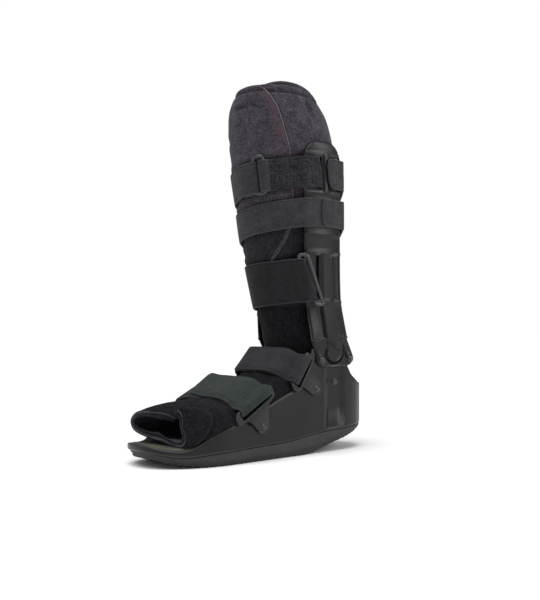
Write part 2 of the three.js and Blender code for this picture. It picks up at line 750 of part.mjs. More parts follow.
// Strap over the foot: it arches from slot to slot, turns round the near loop's outer bar
// and lies back on itself
function footStrap(slot, rise, backTo) {
  const pointOf = slotPoint(slot);
  const edge = sideX(pointOf(0, 0).x);
  const bar = { low: edge - 4, high: edge + gap + loopThickness + 1 };
  const half = strapThickness / 2;
  const top = slotWidth / 2 + loopFrame + gap;
  const path = [];
  const steps = 14;
  const crown = (x) => {
    const arch = rise * (1 - Math.abs(x / bar.low) ** archPower);
    return [arch * (1 + archSlant), arch * (1 - archSlant)];
  };
  path.push([-bar.high - half - 1, slotWidth / 2, slotWidth / 2]);
  path.push([-bar.high, 0, 0], [1 - edge, 0, 0]);
  for (let i = 0; i <= steps; i++) {
    const x = bar.low * (-1 + (2 * i) / steps);
    path.push([x, ...crown(x)]);
  }
  path.push([edge - 1, 0, 0], [bar.high + half, 0, 0]);
  path.push([bar.high + half + 1.2, top * 0.5, top * 0.5]);
  path.push([bar.high + half, top + half, top + half]);
  for (let i = 0; i <= steps; i++) {
    const x = bar.low + 1 + ((backTo - bar.low - 1) * i) / steps;
    const ramp = (top + half + 1) * THREE.MathUtils.smoothstep(x, bar.low * 0.6, bar.low);
    const over = crown(Math.min(x, bar.low)).map((n) => Math.max(n + strapThickness + gap * 1.5, ramp));
    path.push([x, ...over]);
  }
  const w = slot.length / 2 - strapEndRoom;
  const sections = path.map(([x, front, rear], i) => {
    const before = path[Math.max(0, i - 1)];
    const after = path[Math.min(path.length - 1, i + 1)];
    const corner = (a, s) => {
      const column = a < 0 ? 1 : 2;
      const direction = new THREE.Vector2(after[0] - before[0], after[column] - before[column]).normalize();
      const p = pointOf(a, (a < 0 ? front : rear) + s * half * direction.x);
      return new THREE.Vector3(x - s * half * direction.y, p.x, p.y);
    };
    return [corner(-w, -1), corner(w, -1), corner(w, 1), corner(-w, 1)];
  });
  return solid(band(sections, false));
}

const looks = {
  rubber: { color: 0x1e1e20, roughness: 0.85, metalness: 0 },
  plastic: { color: 0x2f2f31, roughness: 0.5, metalness: 0 },
  foam: { color: 0x45443b, roughness: 0.95, metalness: 0 },
  plush: { color: 0x2b2a2f, roughness: 1, metalness: 0 },
  webbing: { color: 0x343538, roughness: 0.9, metalness: 0 },
  pile: { color: 0x28282a, roughness: 1, metalness: 0 },
};
const group = new THREE.Group();

function place(name, shape, look) {
  const geometry = shape instanceof THREE.BufferGeometry ? shape : geometryOf(shape);
  const mesh = new THREE.Mesh(geometry, new THREE.MeshStandardMaterial(look));
  mesh.name = name;
  group.add(mesh);
}

place('outsole', outsole(), looks.rubber);
place('base_shell', baseShell(), looks.plastic);
place('insole_pad', insolePad(), looks.foam);
place('liner', liner(), looks.plush);
place('liner_flap', linerFlap(), looks.plush);
for (const [name, side] of [['right', 1], ['left', -1]]) {
  place(`upright_${name}`, upright(side), looks.plastic);
  place(`forefoot_loop_${name}`, strapLoop(forefootSlot, rivetPlaces.forefoot_loop, side), looks.plastic);
  place(`instep_loop_${name}`, strapLoop(instepSlot, rivetPlaces.instep_loop, side), looks.plastic);
  for (const [spot, where] of Object.entries(rivetPlaces)) {
    place(`rivet_${spot}_${name}`, rivet(where, rivetSeats[spot] + gap, side), looks.plastic);
  }
}
place('forefoot_strap', footStrap(forefootSlot, forefootRise, forefootReturn), looks.webbing);
place('instep_strap', footStrap(instepSlot, instepRise, instepReturn), looks.webbing);
place('lower_strap', lowerStrap(), looks.webbing);
place('lower_strap_ring', ring(legStraps.lower, lowerRingAngle, lowerRingLean), looks.plastic);
place('mid_strap', midStrap(), looks.webbing);
place('mid_strap_tab', midStrapTab(), looks.webbing);
place('top_strap', topStrap(), looks.webbing);
place('top_strap_pile', topStrapPile(), looks.pile);
place('top_strap_ring', ring(legStraps.top, topRingAngle, 0), looks.plastic);

export default group;
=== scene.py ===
# A tall medical walking boot standing empty on a pale floor.
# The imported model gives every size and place; this script gives the surfaces.
# Lengths are modelled in millimetres and turned to metres when a piece is finished.
# +Z is up, the toes point to -Y, +X is the near side. Angles round the leg: 0 is +X, 90 the front.

import math

import bmesh
import bpy
from mathutils import Matrix, Vector, geometry, noise


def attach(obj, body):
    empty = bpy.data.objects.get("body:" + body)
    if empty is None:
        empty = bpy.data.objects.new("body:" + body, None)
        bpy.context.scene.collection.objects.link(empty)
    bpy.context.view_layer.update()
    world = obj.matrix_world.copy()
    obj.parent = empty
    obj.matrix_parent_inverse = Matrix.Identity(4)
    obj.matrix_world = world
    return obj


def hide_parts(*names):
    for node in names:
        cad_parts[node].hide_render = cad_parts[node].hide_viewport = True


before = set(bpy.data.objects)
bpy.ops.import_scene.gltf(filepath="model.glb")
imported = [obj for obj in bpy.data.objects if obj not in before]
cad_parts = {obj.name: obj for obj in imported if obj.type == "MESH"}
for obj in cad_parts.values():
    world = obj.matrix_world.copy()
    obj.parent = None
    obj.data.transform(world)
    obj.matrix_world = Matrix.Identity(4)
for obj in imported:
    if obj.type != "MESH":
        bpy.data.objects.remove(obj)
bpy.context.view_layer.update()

MM = 0.001

# Sole and base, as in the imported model
SOLE_LENGTH = 298
SOLE_WIDTH = 110
HEEL_WIDTH = 89
TOE_ROUND = 84
HEEL_ROUND = 58
PLAN_SQUARENESS = 2.35
ANKLE_FROM_HEEL = 71.5
BAND_HEIGHT = 25
TOE_SPRING = 14
HEEL_LIFT = 25
WALL = 3
FLOOR_THICKNESS = 4
PAD_THICKNESS = 7
EAR_HEIGHT = 118
CHANNEL_DEPTH = 1.9
CHANNEL_WIDTH = 27
CHANNEL_SET = 8
GAP = 0.35

# Uprights
UPRIGHT_BOTTOM = 97
UPRIGHT_TOP = 349
UPRIGHT_WIDTH = 53
UPRIGHT_THICKNESS = 4
UPRIGHT_BOW = 2.5
UPRIGHT_CLEAR = 2.6
BOW_START = 126
BOW_LENGTH = 40

# Strap loops on the base, rivets: distance ahead of the ankle axis and height
LOOP_THICKNESS = 3
LOOP_FRAME = 3.6
SLOT_WIDTH = 5
FOREFOOT_SLOT = {"length": 46, "angle": 31.5, "ahead": 113, "height": 62}
INSTEP_SLOT = {"length": 35, "angle": 57, "ahead": 45, "height": 93.5}
RIVETS = {
    "upright_front": {"ahead": 16.5, "height": 105.5, "under": UPRIGHT_THICKNESS},
    "upright_rear": {"ahead": -28.5, "height": 105.5, "under": UPRIGHT_THICKNESS},
    "ankle": {"ahead": -8.5, "height": 80, "under": -CHANNEL_DEPTH},
    "instep_loop": {"ahead": 24, "height": 73.5, "under": LOOP_THICKNESS},
    "forefoot_loop": {"ahead": 102.5, "height": 37.5, "under": LOOP_THICKNESS},
}

# Liner
LINER_TOP = 430
LOBE_DIP = 30
FRONT_LOBE_DROP = 20
FRONT_LOBE_FACING = 55
LOBE_ROUNDNESS = 0.7
LEG_WIDTH = 110
ANKLE_CLEAR = 0.7
LEG_DEPTH = 130
LEG_LEAN = 50
LINER_PADDING = 8

# Straps
STRAP_THICKNESS = 2.6
STRAP_CLEAR = 1.45
LOWER_STRAP = {"height": 188.8, "tilt": 6.2, "width": 48}
MID_STRAP = {"height": 258, "tilt": 11.7, "width": 31.5}
TOP_STRAP = {"height": 302, "tilt": 11.8, "width": 34}
TOP_RING_ANGLE = 65
LOWER_RING_ANGLE = 19

TOE_END = -SOLE_LENGTH / 2
HEEL_END = SOLE_LENGTH / 2
ANKLE_Y = HEEL_END - ANKLE_FROM_HEEL
TOE_BASE = TOE_END + TOE_ROUND
HEEL_BASE = HEEL_END - HEEL_ROUND

# Side outlines as shares: along the sole from the toe, and of the named height
BAND_ROWS = [(0, 0.68), (0.05, 0.54), (0.1, 0.46), (0.2, 0.52), (0.4, 0.63), (0.55, 0.7),
             (0.71, 0.93), (0.8, 1), (0.93, 1.1), (1, 1.22)]
TOE_ROWS = [(0, 1), (0.03, 0.68), (0.07, 0.38), (0.12, 0.18), (0.18, 0.06), (0.25, 0)]
HEEL_ROWS = [(0.645, 0), (0.7, 0.11), (0.76, 0.3), (0.83, 0.5), (0.93, 0.8), (1, 1)]
WALL_ROWS = [(0, 0.21), (0.04, 0.172), (0.09, 0.152), (0.13, 0.172), (0.17, 0.228), (0.245, 0.315),
             (0.3, 0.36), (0.45, 0.5), (0.56, 0.61), (0.63, 0.68), (0.65, 0.8), (0.67, 1),
             (0.81, 1), (0.845, 0.87), (0.88, 0.74), (0.94, 0.65), (1, 0.64)]

# Upright edges by share of its height: ahead of and behind the ankle axis, and how far it flares out
UPRIGHT_FRONT = [(0, 0.37), (0.035, 0.41), (0.06, 0.43), (0.12, 0.57), (0.3, 0.69), (0.43, 0.75),
                 (0.585, 0.82), (0.74, 0.88), (0.87, 0.91), (1, 0.93)]
UPRIGHT_BACK = [(0, 0.58), (0.035, 0.66), (0.06, 0.63), (0.12, 0.49), (0.3, 0.3), (0.43, 0.24),
                (0.585, 0.17), (0.74, 0.11), (0.87, 0.08), (1, 0.06)]
UPRIGHT_OUT = [(0, 0), (0.12, 0), (0.3, 0.02), (0.43, 0.2), (0.585, 0.52), (0.74, 0.82), (0.87, 0.95), (1, 1)]

# Leg sections by share of the liner's height: how far the width has gone from the ankle's to the calf's,
# shares of leg depth to front and back, share of lean
LEG_ROWS = [
    (0.09, 0, 0.76, 0.86, -0.16), (0.18, 0.07, 0.79, 0.88, -0.1), (0.28, 0.07, 0.73, 0.8, 0.06),
    (0.4, -0.16, 0.83, 0.83, 0.24), (0.48, 0.03, 0.88, 0.88, 0.34), (0.56, 0.42, 0.92, 0.92, 0.42),
    (0.645, 0.69, 0.95, 0.95, 0.48), (0.73, 0.88, 1, 1, 0.54), (0.82, 0.96, 0.955, 0.955, 0.7),
    (0.89, 0.77, 0.84, 0.84, 0.84), (0.93, 0.46, 0.74, 0.74, 0.92), (0.965, 0, 0.62, 0.62, 0.96),
    (1, -0.55, 0.5, 0.5, 1),
]


def straight_at(rows, x, column=1):
    if x <= rows[0][0]:
        return rows[0][column]
    for low, high in zip(rows, rows[1:]):
        if x <= high[0]:
            share = (x - low[0]) / (high[0] - low[0])
            return low[column] + (high[column] - low[column]) * share
    return rows[-1][column]


def curve_at(rows, x, column=1):
    """Smooth curve through the rows."""
    last = len(rows) - 1
    if x <= rows[0][0]:
        return rows[0][column]
    if x >= rows[last][0]:
        return rows[last][column]
    k = next(i for i in range(1, last + 1) if x <= rows[i][0])
    p0, p1, p2, p3 = (rows[min(max(i, 0), last)] for i in (k - 2, k - 1, k, k + 1))
    width = p2[0] - p1[0]
    t = (x - p1[0]) / width

    def slope(a, b):
        return 0 if a[0] == b[0] else (b[column] - a[column]) / (b[0] - a[0]) * width

    m1, m2 = slope(p0, p2), slope(p1, p3)
    return ((2 * t**3 - 3 * t**2 + 1) * p1[column] + (t**3 - 2 * t**2 + t) * m1
            + (-2 * t**3 + 3 * t**2) * p2[column] + (t**3 - t**2) * m2)


def ease(x, low, high):
    """0 at low, 1 at high, with a soft start and stop. Low may be above high."""
    t = min(1, max(0, (x - low) / (high - low)))
    return t * t * (3 - 2 * t)


def bump_at(x, middle, width):
    """1 at middle, falling softly to 0 at half a width away."""
    return 1 - ease(abs(x - middle), 0, width / 2)


def filled(stops, step):
    """The stops, with more in between wherever they lie further apart than step."""
    stops = sorted(set(stops))
    out = [stops[0]]
    for a, b in zip(stops, stops[1:]):
        n = max(1, math.ceil((b - a) / step - 1e-6))
        out += [a + (b - a) * i / n for i in range(1, n + 1)]
    return out


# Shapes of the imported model

def side_x(y):
    share = min(1, max(0, (y - TOE_BASE) / (HEEL_BASE - TOE_BASE)))
    return (SOLE_WIDTH + (HEEL_WIDTH - SOLE_WIDTH) * share) / 2


def along_sole(y):
    return (y - TOE_END) / SOLE_LENGTH


def band_height(y):
    return BAND_HEIGHT * curve_at(BAND_ROWS, along_sole(y))


def wall_height(y):
    return EAR_HEIGHT * straight_at(WALL_ROWS, along_sole(y))


def sole_bottom(y):
    along = along_sole(y)
    return TOE_SPRING * curve_at(TOE_ROWS, along) + HEEL_LIFT * curve_at(HEEL_ROWS, along)


def upright_share(z):
    return (z - UPRIGHT_BOTTOM) / (UPRIGHT_TOP - UPRIGHT_BOTTOM)


def upright_edges(z):
    share = upright_share(z)
    front = ANKLE_Y - UPRIGHT_WIDTH * straight_at(UPRIGHT_FRONT, share)
    back = ANKLE_Y + UPRIGHT_WIDTH * straight_at(UPRIGHT_BACK, share)
    return front, back


def upright_outer(z):
    flare = LEG_WIDTH / 2 + UPRIGHT_CLEAR - side_x(ANKLE_Y)
    return side_x(ANKLE_Y) + GAP + UPRIGHT_THICKNESS + flare * curve_at(UPRIGHT_OUT, upright_share(z))


def leg_middle(z):
    return ANKLE_Y - LEG_LEAN * curve_at(LEG_ROWS, z / LINER_TOP, 4)


def leg_point(z, angle, offset=0.0):
    up = z / LINER_TOP
    ankle = HEEL_WIDTH / 2 - WALL - ANKLE_CLEAR
    width = ankle + (LEG_WIDTH / 2 - ankle) * curve_at(LEG_ROWS, up, 1) + offset
    depth = LEG_DEPTH / 2 * curve_at(LEG_ROWS, up, 2 if math.sin(angle) > 0 else 3) + offset
    return Vector((width * math.cos(angle), leg_middle(z) - depth * math.sin(angle), z))


def lobe_top(angle):
    facing = math.cos(angle - math.radians(FRONT_LOBE_FACING))
    return LINER_TOP - LOBE_DIP * (1 - abs(facing) ** LOBE_ROUNDNESS) - FRONT_LOBE_DROP * max(0, facing)


HULLS = {}


def wrap_outline(z, sides):
    """Tight outline round the liner at a height, and round the uprights on the given sides."""
    key = (round(z, 2), sides)
    if key not in HULLS:
        points = [leg_point(z, i * math.tau / 72).xy for i in range(72)]
        front, back = upright_edges(z)
        for side in sides:
            face = side * upright_outer(z)
            low = face - side * UPRIGHT_BOW
            points += [Vector((low, front)), Vector((face, (front + back) / 2)), Vector((low, back))]
        HULLS[key] = [points[i] for i in geometry.convex_hull_2d(points)]
    return HULLS[key]


def wrap_point(z, angle, offset, sides=(-1, 1)):
    hull = wrap_outline(z, sides)
    middle = leg_middle(z)
    dx, dy = math.cos(angle), -math.sin(angle)
    distance = 0
    for p, q in zip(hull, hull[1:] + hull[:1]):
        px, py = p.x, p.y - middle
        ex, ey = q.x - p.x, q.y - p.y
        cross = dx * ey - dy * ex
        if abs(cross) < 1e-9:
            continue
        along = (px * ey - py * ex) / cross
        share = (px * dy - py * dx) / cross
        if along > 0 and -1e-6 <= share <= 1 + 1e-6:
            distance = max(distance, along)
    return Vector((dx * (distance + offset), middle + dy * (distance + offset), z))


# Materials

def linear(code):
    """sRGB hex to linear colour."""
    parts = [int(code[i:i + 2], 16) / 255 for i in (1, 3, 5)]
    return [c / 12.92 if c <= 0.04045 else ((c + 0.055) / 1.055) ** 2.4 for c in parts] + [1]


def node(tree, kind, settings=None, feeds=None, **links):
    """Adds a node. Settings name its properties, or its sockets by name or number. Links and feeds say
    which output goes into each socket."""
    made = tree.nodes.new(kind)
    for key, value in (settings or {}).items():
        if isinstance(key, int) or key in made.inputs:
            made.inputs[key].default_value = value
        else:
            setattr(made, key, value)
    for key, source in {**links, **(feeds or {})}.items():
        tree.links.new(source, made.inputs[key if isinstance(key, int) else key.replace("_", " ")])
    return made


def new_material(name):
    material = bpy.data.materials.new(name)
    material.use_nodes = True
    tree = material.node_tree
    tree.nodes.clear()
    return material, tree


def mottle(tree, place, size, detail, roughness=0.5):
    """Noise on metre coordinates, for a feature of this size in millimetres."""
    return node(tree, "ShaderNodeTexNoise", {"Scale": 1000 / size, "Detail": detail, "Roughness": roughness},
                Vector=place).outputs["Fac"]


def stretched(tree, value, low, high, to_low=0.0, to_high=1.0):
    """Turns the span from low to high into the span from to_low to to_high, and holds it there."""
    span = {"From Min": low, "From Max": high, "To Min": to_low, "To Max": to_high}
    return node(tree, "ShaderNodeMapRange", span, Value=value).outputs["Result"]

def combined(tree, operation, first, second, third=None):
    """Arithmetic on sockets and numbers."""
    inputs = {i: v for i, v in enumerate((first, second, third)) if v is not None}
    numbers = {i: v for i, v in inputs.items() if isinstance(v, float)}
    sockets = {i: v for i, v in inputs.items() if i not in numbers}
    return node(tree, "ShaderNodeMath", {"operation": operation, **numbers}, sockets).outputs[0]


def two_tone(tree, value, low, high, start, end, curve="LINEAR"):
    """A ramp from one sRGB colour at start to another at end."""
    ramp = node(tree, "ShaderNodeValToRGB", Fac=value)
    ramp.color_ramp.interpolation = curve
    for point, at, code in zip(ramp.color_ramp.elements, (start, end), (low, high)):
        point.position, point.color = at, linear(code)
    return ramp.outputs["Color"]


def tinted(tree, colour, share, code):
    """Mixes an sRGB colour into a colour by a share."""
    return node(tree, "ShaderNodeMix", {"data_type": "RGBA", 7: linear(code)}, {0: share, 6: colour}).outputs[2]


def skin(tree, settings, bump=None, **links):
    """The shader and its output. A bump is (height socket, strength, depth in millimetres)."""
    if bump:
        height, strength, depth = bump
        links["Normal"] = node(tree, "ShaderNodeBump", {"Strength": strength, "Distance": depth * MM},
                               Height=height).outputs["Normal"]
    shader = node(tree, "ShaderNodeBsdfPrincipled", {"Metallic": 0.0, **settings}, **links)
    node(tree, "ShaderNodeOutputMaterial", Surface=shader.outputs["BSDF"])


def object_place(tree):
    return node(tree, "ShaderNodeTexCoord").outputs["Object"]


def grained_plastic(name, base, worn, roughness, shine):
    """Injection-moulded: fine spark-eroded grain, cloudy flow in the colour, sharp edges mixed lighter as edge wear
    and as painted highlight.
    """
    material, tree = new_material(name)
    place = object_place(tree)
    cloud = two_tone(tree, mottle(tree, place, 45, 3.0), base, worn, 0.3, 0.75)
    edge_wear_and_highlight = node(tree, "ShaderNodeNewGeometry").outputs["Pointiness"]
    # Edge wear and painted highlight: convex edges, found by pointiness, are mixed towards a lighter grey.
    colour = tinted(tree, cloud, stretched(tree, edge_wear_and_highlight, 0.525, 0.59, 0.0, 0.7), "#5c5c60")
    scuffs = stretched(tree, mottle(tree, place, 9, 8.0, 0.75), 0.58, 0.72)
    skin(tree, {"IOR": 1.49, "Specular IOR Level": shine}, (mottle(tree, place, 1.6, 4.0, 0.6), 0.35, 0.12),
         Base_Color=colour, Roughness=stretched(tree, scuffs, 0.0, 1.0, roughness - 0.05, roughness + 0.12))
    return material


def tread_rubber():
    """Moulded nitrile rubber: dull, faintly pitted, dusty in patches."""
    material, tree = new_material("moulded nitrile rubber")
    place = object_place(tree)
    dust = two_tone(tree, mottle(tree, place, 14, 5.0), "#171718", "#222222", 0.35, 0.75)
    skin(tree, {"IOR": 1.52, "Roughness": 0.62}, (mottle(tree, place, 2.2, 6.0, 0.7), 0.5, 0.4), Base_Color=dust)
    return material


def insole_foam():
    """Closed-cell EVA foam sheet: olive grey, tiny cells, soft worn patches."""
    material, tree = new_material("EVA foam sheet")
    place = object_place(tree)
    cells = node(tree, "ShaderNodeTexVoronoi", {"Scale": 1000 / 1.2}, Vector=place).outputs["Distance"]
    patches = two_tone(tree, mottle(tree, place, 18, 5.0), "#38382e", "#4e4e42", 0.3, 0.75)
    skin(tree, {"IOR": 1.45, "Roughness": 0.85}, (cells, 0.4, 0.2), Base_Color=patches)
    return material


def napped_cloth(name, low, high, sheen_tint, fuzz, sheen):
    """Brushed nylon loop cloth over foam: a fuzzy nap with blotchy lay, and a painted sheen: a lighter tint laid in
    blotches on cloth marked as lying beside the flap's edge.
    The nap is drawn at its own size in millimetres, fuzz, which is coarser than real so that it shows."""
    material, tree = new_material(name)
    place = object_place(tree)
    nap = mottle(tree, place, fuzz, 6.0, 0.8)
    mixed = combined(tree, "MULTIPLY_ADD", nap, 2.2, mottle(tree, place, 9, 7.0, 0.8))
    cloth = two_tone(tree, stretched(tree, mixed, 1.1, 2.2), low, high, 0.15, 0.85, "EASE")
    edge_sheen = node(tree, "ShaderNodeAttribute", {"attribute_name": "edge_sheen"}).outputs["Fac"]
    patch = stretched(tree, mottle(tree, place, 5, 4.0), 0.35, 0.65, 0.0, 0.75)
    # Painted sheen: marked cloth is mixed in blotches towards the sheen tint colour.
    colour = tinted(tree, cloth, combined(tree, "MULTIPLY", patch, edge_sheen), sheen_tint)
    skin(tree, {"IOR": 1.45, "Roughness": 0.95, "Sheen Weight": sheen, "Sheen Roughness": 0.45,
                "Specular IOR Level": 0.12}, (nap, 1.0, 0.9), Base_Color=colour)
    return material


def laminated_strap(name, low, high):
    """Laminated loop strap: a close knit face, drawn coarse enough to show, a pressed line inside each edge, and a
    painted highlight that lightens the last millimetre of each edge.
    The piece carries its own place on the strap in millimetres: across, along, and how far from an edge."""
    material, tree = new_material(name)
    place = object_place(tree)
    strap = node(tree, "ShaderNodeAttribute", {"attribute_name": "strap_mm"}).outputs["Vector"]
    edge = node(tree, "ShaderNodeAttribute", {"attribute_name": "strap_edge"}).outputs["Fac"]
    knit = node(tree, "ShaderNodeTexVoronoi", {"Scale": 0.55}, Vector=strap).outputs["Distance"]
    off_seam = combined(tree, "ABSOLUTE", combined(tree, "SUBTRACT", edge, 3.0), None)
    seam = stretched(tree, off_seam, 0.0, 0.9, 1.0, 0.0)
    patches, streaks = mottle(tree, place, 1.7, 4.0, 0.7), mottle(tree, place, 12, 6.0, 0.7)
    mixed = combined(tree, "MULTIPLY_ADD", patches, 1.5, streaks)
    cloth = two_tone(tree, stretched(tree, mixed, 0.9, 1.65), low, high, 0.1, 0.9)
    # Painted highlight: the outermost millimetre of each strap edge is mixed towards a lighter grey.
    colour = tinted(tree, cloth, stretched(tree, edge, 0.25, 1.1, 0.55, 0.0), "#4a4a4e")
    skin(tree, {"IOR": 1.47, "Roughness": 0.82, "Sheen Weight": 0.04, "Sheen Roughness": 0.5,
                "Specular IOR Level": 0.25},
         (combined(tree, "MULTIPLY_ADD", seam, -1.6, knit), 0.8, 0.3), Base_Color=colour)
    return material


def pale_floor():
    """Matt studio sweep."""
    material, tree = new_material("studio paper")
    skin(tree, {"Roughness": 0.9},
         Base_Color=two_tone(tree, mottle(tree, object_place(tree), 60, 3.0), "#f4f4f4", "#fbfbfb", 0.0, 1.0))
    return material


PLASTIC = grained_plastic("moulded polypropylene", "#161617", "#1d1d1e", 0.36, 0.2)
# Rivet heads and strap rings: lighter than the base plastic. The extra lightness is a painted highlight, standing
# in for light on their domes and bars.
NYLON_WITH_PAINTED_HIGHLIGHT = grained_plastic("moulded nylon, painted highlight", "#2a2a2c", "#343436", 0.3, 0.4)
TREAD = tread_rubber()
FOAM = insole_foam()
LEG_CLOTH = napped_cloth("brushed loop cloth", "#252328", "#545059", "#523d46", 1.7, 0.06)
# A darker copy of the leg cloth for the liner and flap below the mid strap: painted shade.
SHADED_CLOTH = napped_cloth("brushed loop cloth, painted shade", "#171619", "#333136", "#2c2228", 1.7, 0.04)
# Near-black cloth of the foot and ankle, also laid on the upright's deepest recesses as painted shade.
FOOT_CLOTH_AND_SHADE = napped_cloth("dark brushed cloth, also painted shade", "#070709", "#222225", "#131215", 2.0, 0.03)
LINING = napped_cloth("liner facing", "#2e2d32", "#58565e", "#3c393f", 1.8, 0.04)
STRAP = laminated_strap("laminated loop strap", "#1b1b1e", "#302f33")
LEG_STRAP = laminated_strap("laminated loop strap, brushed", "#202023", "#3b3a3e")
# A darker copy of the strap for the lower strap: painted shade, as the light falls off lower down the leg.
SHADED_LOW_STRAP = laminated_strap("laminated loop strap, painted shade", "#111113", "#201f22")
FOREFOOT = laminated_strap("laminated loop strap, green tinge", "#1a201e", "#2e3633")
PILE = napped_cloth("loop pile", "#111113", "#3f3e43", "#29262a", 2.0, 0.06)


# Meshes

def finish_piece(name, bm, materials, replaces=(), pick=None):
    """Turns a mesh in millimetres into a named object in metres. Where it has several materials, pick(mesh, face)
    says which of them a face has."""
    bmesh.ops.scale(bm, vec=(MM, MM, MM), verts=bm.verts)
    mesh = bpy.data.meshes.new(name)
    bm.to_mesh(mesh)
    bm.free()
    made = bpy.data.objects.new(name, mesh)
    bpy.context.scene.collection.objects.link(made)
    for material in materials if isinstance(materials, list) else [materials]:
        mesh.materials.append(material)
    mesh.polygons.foreach_set("use_smooth", [True] * len(mesh.polygons))
    if pick:
        for face in mesh.polygons:
            face.material_index = pick(mesh, face)
    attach(made, "root")
    if replaces:
        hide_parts(*replaces)
    return made


def lattice(bm, columns, rows, place, round_columns=False, round_rows=False):
    """A grid whose vertices are moved to place(column, row). A round direction closes on itself."""
    across = columns + 1 if round_columns else columns
    along = rows + 1 if round_rows else rows
    made = bmesh.ops.create_grid(bm, x_segments=across - 1, y_segments=along - 1, size=1)["verts"]
    keys = {}
    for v in made:
        i = round((v.co.x + 1) / 2 * (across - 1))
        j = round((v.co.y + 1) / 2 * (along - 1))
        keys[v] = (i % columns, j % rows)
    for v, (i, j) in keys.items():
        v.co = place(i, j)
    return keys


def close_up(bm, dist=1e-3):
    """Joins doubled edges, fills open rings and turns every face outwards."""
    bmesh.ops.remove_doubles(bm, verts=bm.verts, dist=dist)
    bmesh.ops.holes_fill(bm, edges=[e for e in bm.edges if e.is_boundary])
    bmesh.ops.recalc_face_normals(bm, faces=bm.faces)


def closed_sheet(columns, rows, place, dist, **rounds):
    """A lattice on its own, joined and closed."""
    bm = bmesh.new()
    lattice(bm, columns, rows, place, **rounds)
    close_up(bm, dist)
    return bm


def mirrored_pair(name, build, materials, nodes):
    """Builds the +X piece, and its mirror image on the other side."""
    for word, side in (("right", 1), ("left", -1)):
        bm = build()
        if side < 0:
            bmesh.ops.scale(bm, vec=(-1, 1, 1), verts=bm.verts)
            bmesh.ops.reverse_faces(bm, faces=bm.faces)
        finish_piece(f"{name}_{word}_moulded", bm, materials, [n.format(word) for n in nodes])


# Base, sole and insole: columns run round the plan outline from the toe tip over +X

def outline_columns():
    ear = [TOE_END + row[0] * SOLE_LENGTH for row in WALL_ROWS]
    channel_y = ANKLE_Y + CHANNEL_SET
    edges = [channel_y + s * (CHANNEL_WIDTH / 2 + d) for s in (-1, 1) for d in (0, 0.35)]
    sides = filled([TOE_BASE, HEEL_BASE, *[y for y in ear + edges if TOE_BASE < y < HEEL_BASE]], 5)
    toe = [("toe", i / 26 * math.pi / 2) for i in range(26)]
    side = [("side", y) for y in sides]
    heel = [("heel", i / 26 * math.pi / 2) for i in range(1, 27)]
    right = toe + side + heel
    return [(1, *c) for c in right] + [(-1, *c) for c in reversed(right[1:-1])]


COLUMNS = outline_columns()


def outline_point(column, inset):
    side, part, value = COLUMNS[column]
    power = 2 / PLAN_SQUARENESS
    if part == "side":
        return side * (side_x(value) - inset), value
    if part == "toe":
        x = (side_x(TOE_BASE) - inset) * math.sin(value) ** power
        return side * x, TOE_BASE - (TOE_ROUND - inset) * max(0, math.cos(value)) ** power
    x = (side_x(HEEL_BASE) - inset) * max(0, math.cos(value)) ** power
    return side * x, HEEL_BASE + (HEEL_ROUND - inset) * math.sin(value) ** power


def outline_y(column):
    return outline_point(column, 0)[1]


# Millimetres: the base stands this far over its seam, its channel starts and its rolled rim ends this far off
SKIRT = 0.1
CHANNEL_START = 5.2
RIM_ROLL = 2.4


def base_shell():
    """Hollow moulded base: rolled rim, smooth wall, recessed channel under each ear, flat inner floor."""
    profile = [("spine", 0), ("spine", 0.5), ("under", 6), ("under", 2.2), ("outer", 0.6), ("outer", 2.0),
               ("outer", 4.2), ("outer", CHANNEL_START), ("share", 0.3), ("share", 0.5), ("share", 0.7),
               ("share", 0.86), ("rim", (0, -2.2)), ("rim", (0.25, -0.8)), ("rim", (0.9, -0.15)), ("rim", (1.6, 0)),
               ("rim", (2.3, -0.3)), ("rim", (WALL, -1.4)), ("inner", 0.6), ("inner", 0.25), ("inner", 0.0),
               ("floor", 0.5), ("floor", 0)]
    channel_y = ANKLE_Y + CHANNEL_SET

    def place(i, j):
        kind, value = profile[j]
        y = outline_y(i)
        band, top = band_height(y) + SKIRT, wall_height(y)
        channel = CHANNEL_DEPTH if abs(y - channel_y) <= CHANNEL_WIDTH / 2 else 0.0
        if kind in ("spine", "floor"):
            x, yy = outline_point(i, WALL if kind == "floor" else 6)
            return Vector((x * value, yy, band_height(yy) + (FLOOR_THICKNESS if kind == "floor" else 0.2)))
        if kind == "under":
            x, yy = outline_point(i, value)
            return Vector((x, yy, band_height(yy) + SKIRT))
        if kind == "outer":
            recess = channel if value > CHANNEL_START - 0.7 else 0.0
            x, yy = outline_point(i, recess + max(0, 0.7 - value * 0.35))
            return Vector((x, yy, min(band + value, top - RIM_ROLL)))
        if kind == "share":
            x, yy = outline_point(i, channel)
            low = min(band + CHANNEL_START, top - RIM_ROLL)
            return Vector((x, yy, low + (top - 2.2 - low) * value))
        if kind == "rim":
            inset, drop = value
            x, yy = outline_point(i, inset)
            return Vector((x, yy, top + drop))
        x, yy = outline_point(i, WALL)
        floor = band_height(yy) + FLOOR_THICKNESS
        return Vector((x, yy, floor + max(0, top - 1.4 - floor) * value))

    return closed_sheet(len(COLUMNS), len(profile), place, 0.02, round_columns=True)


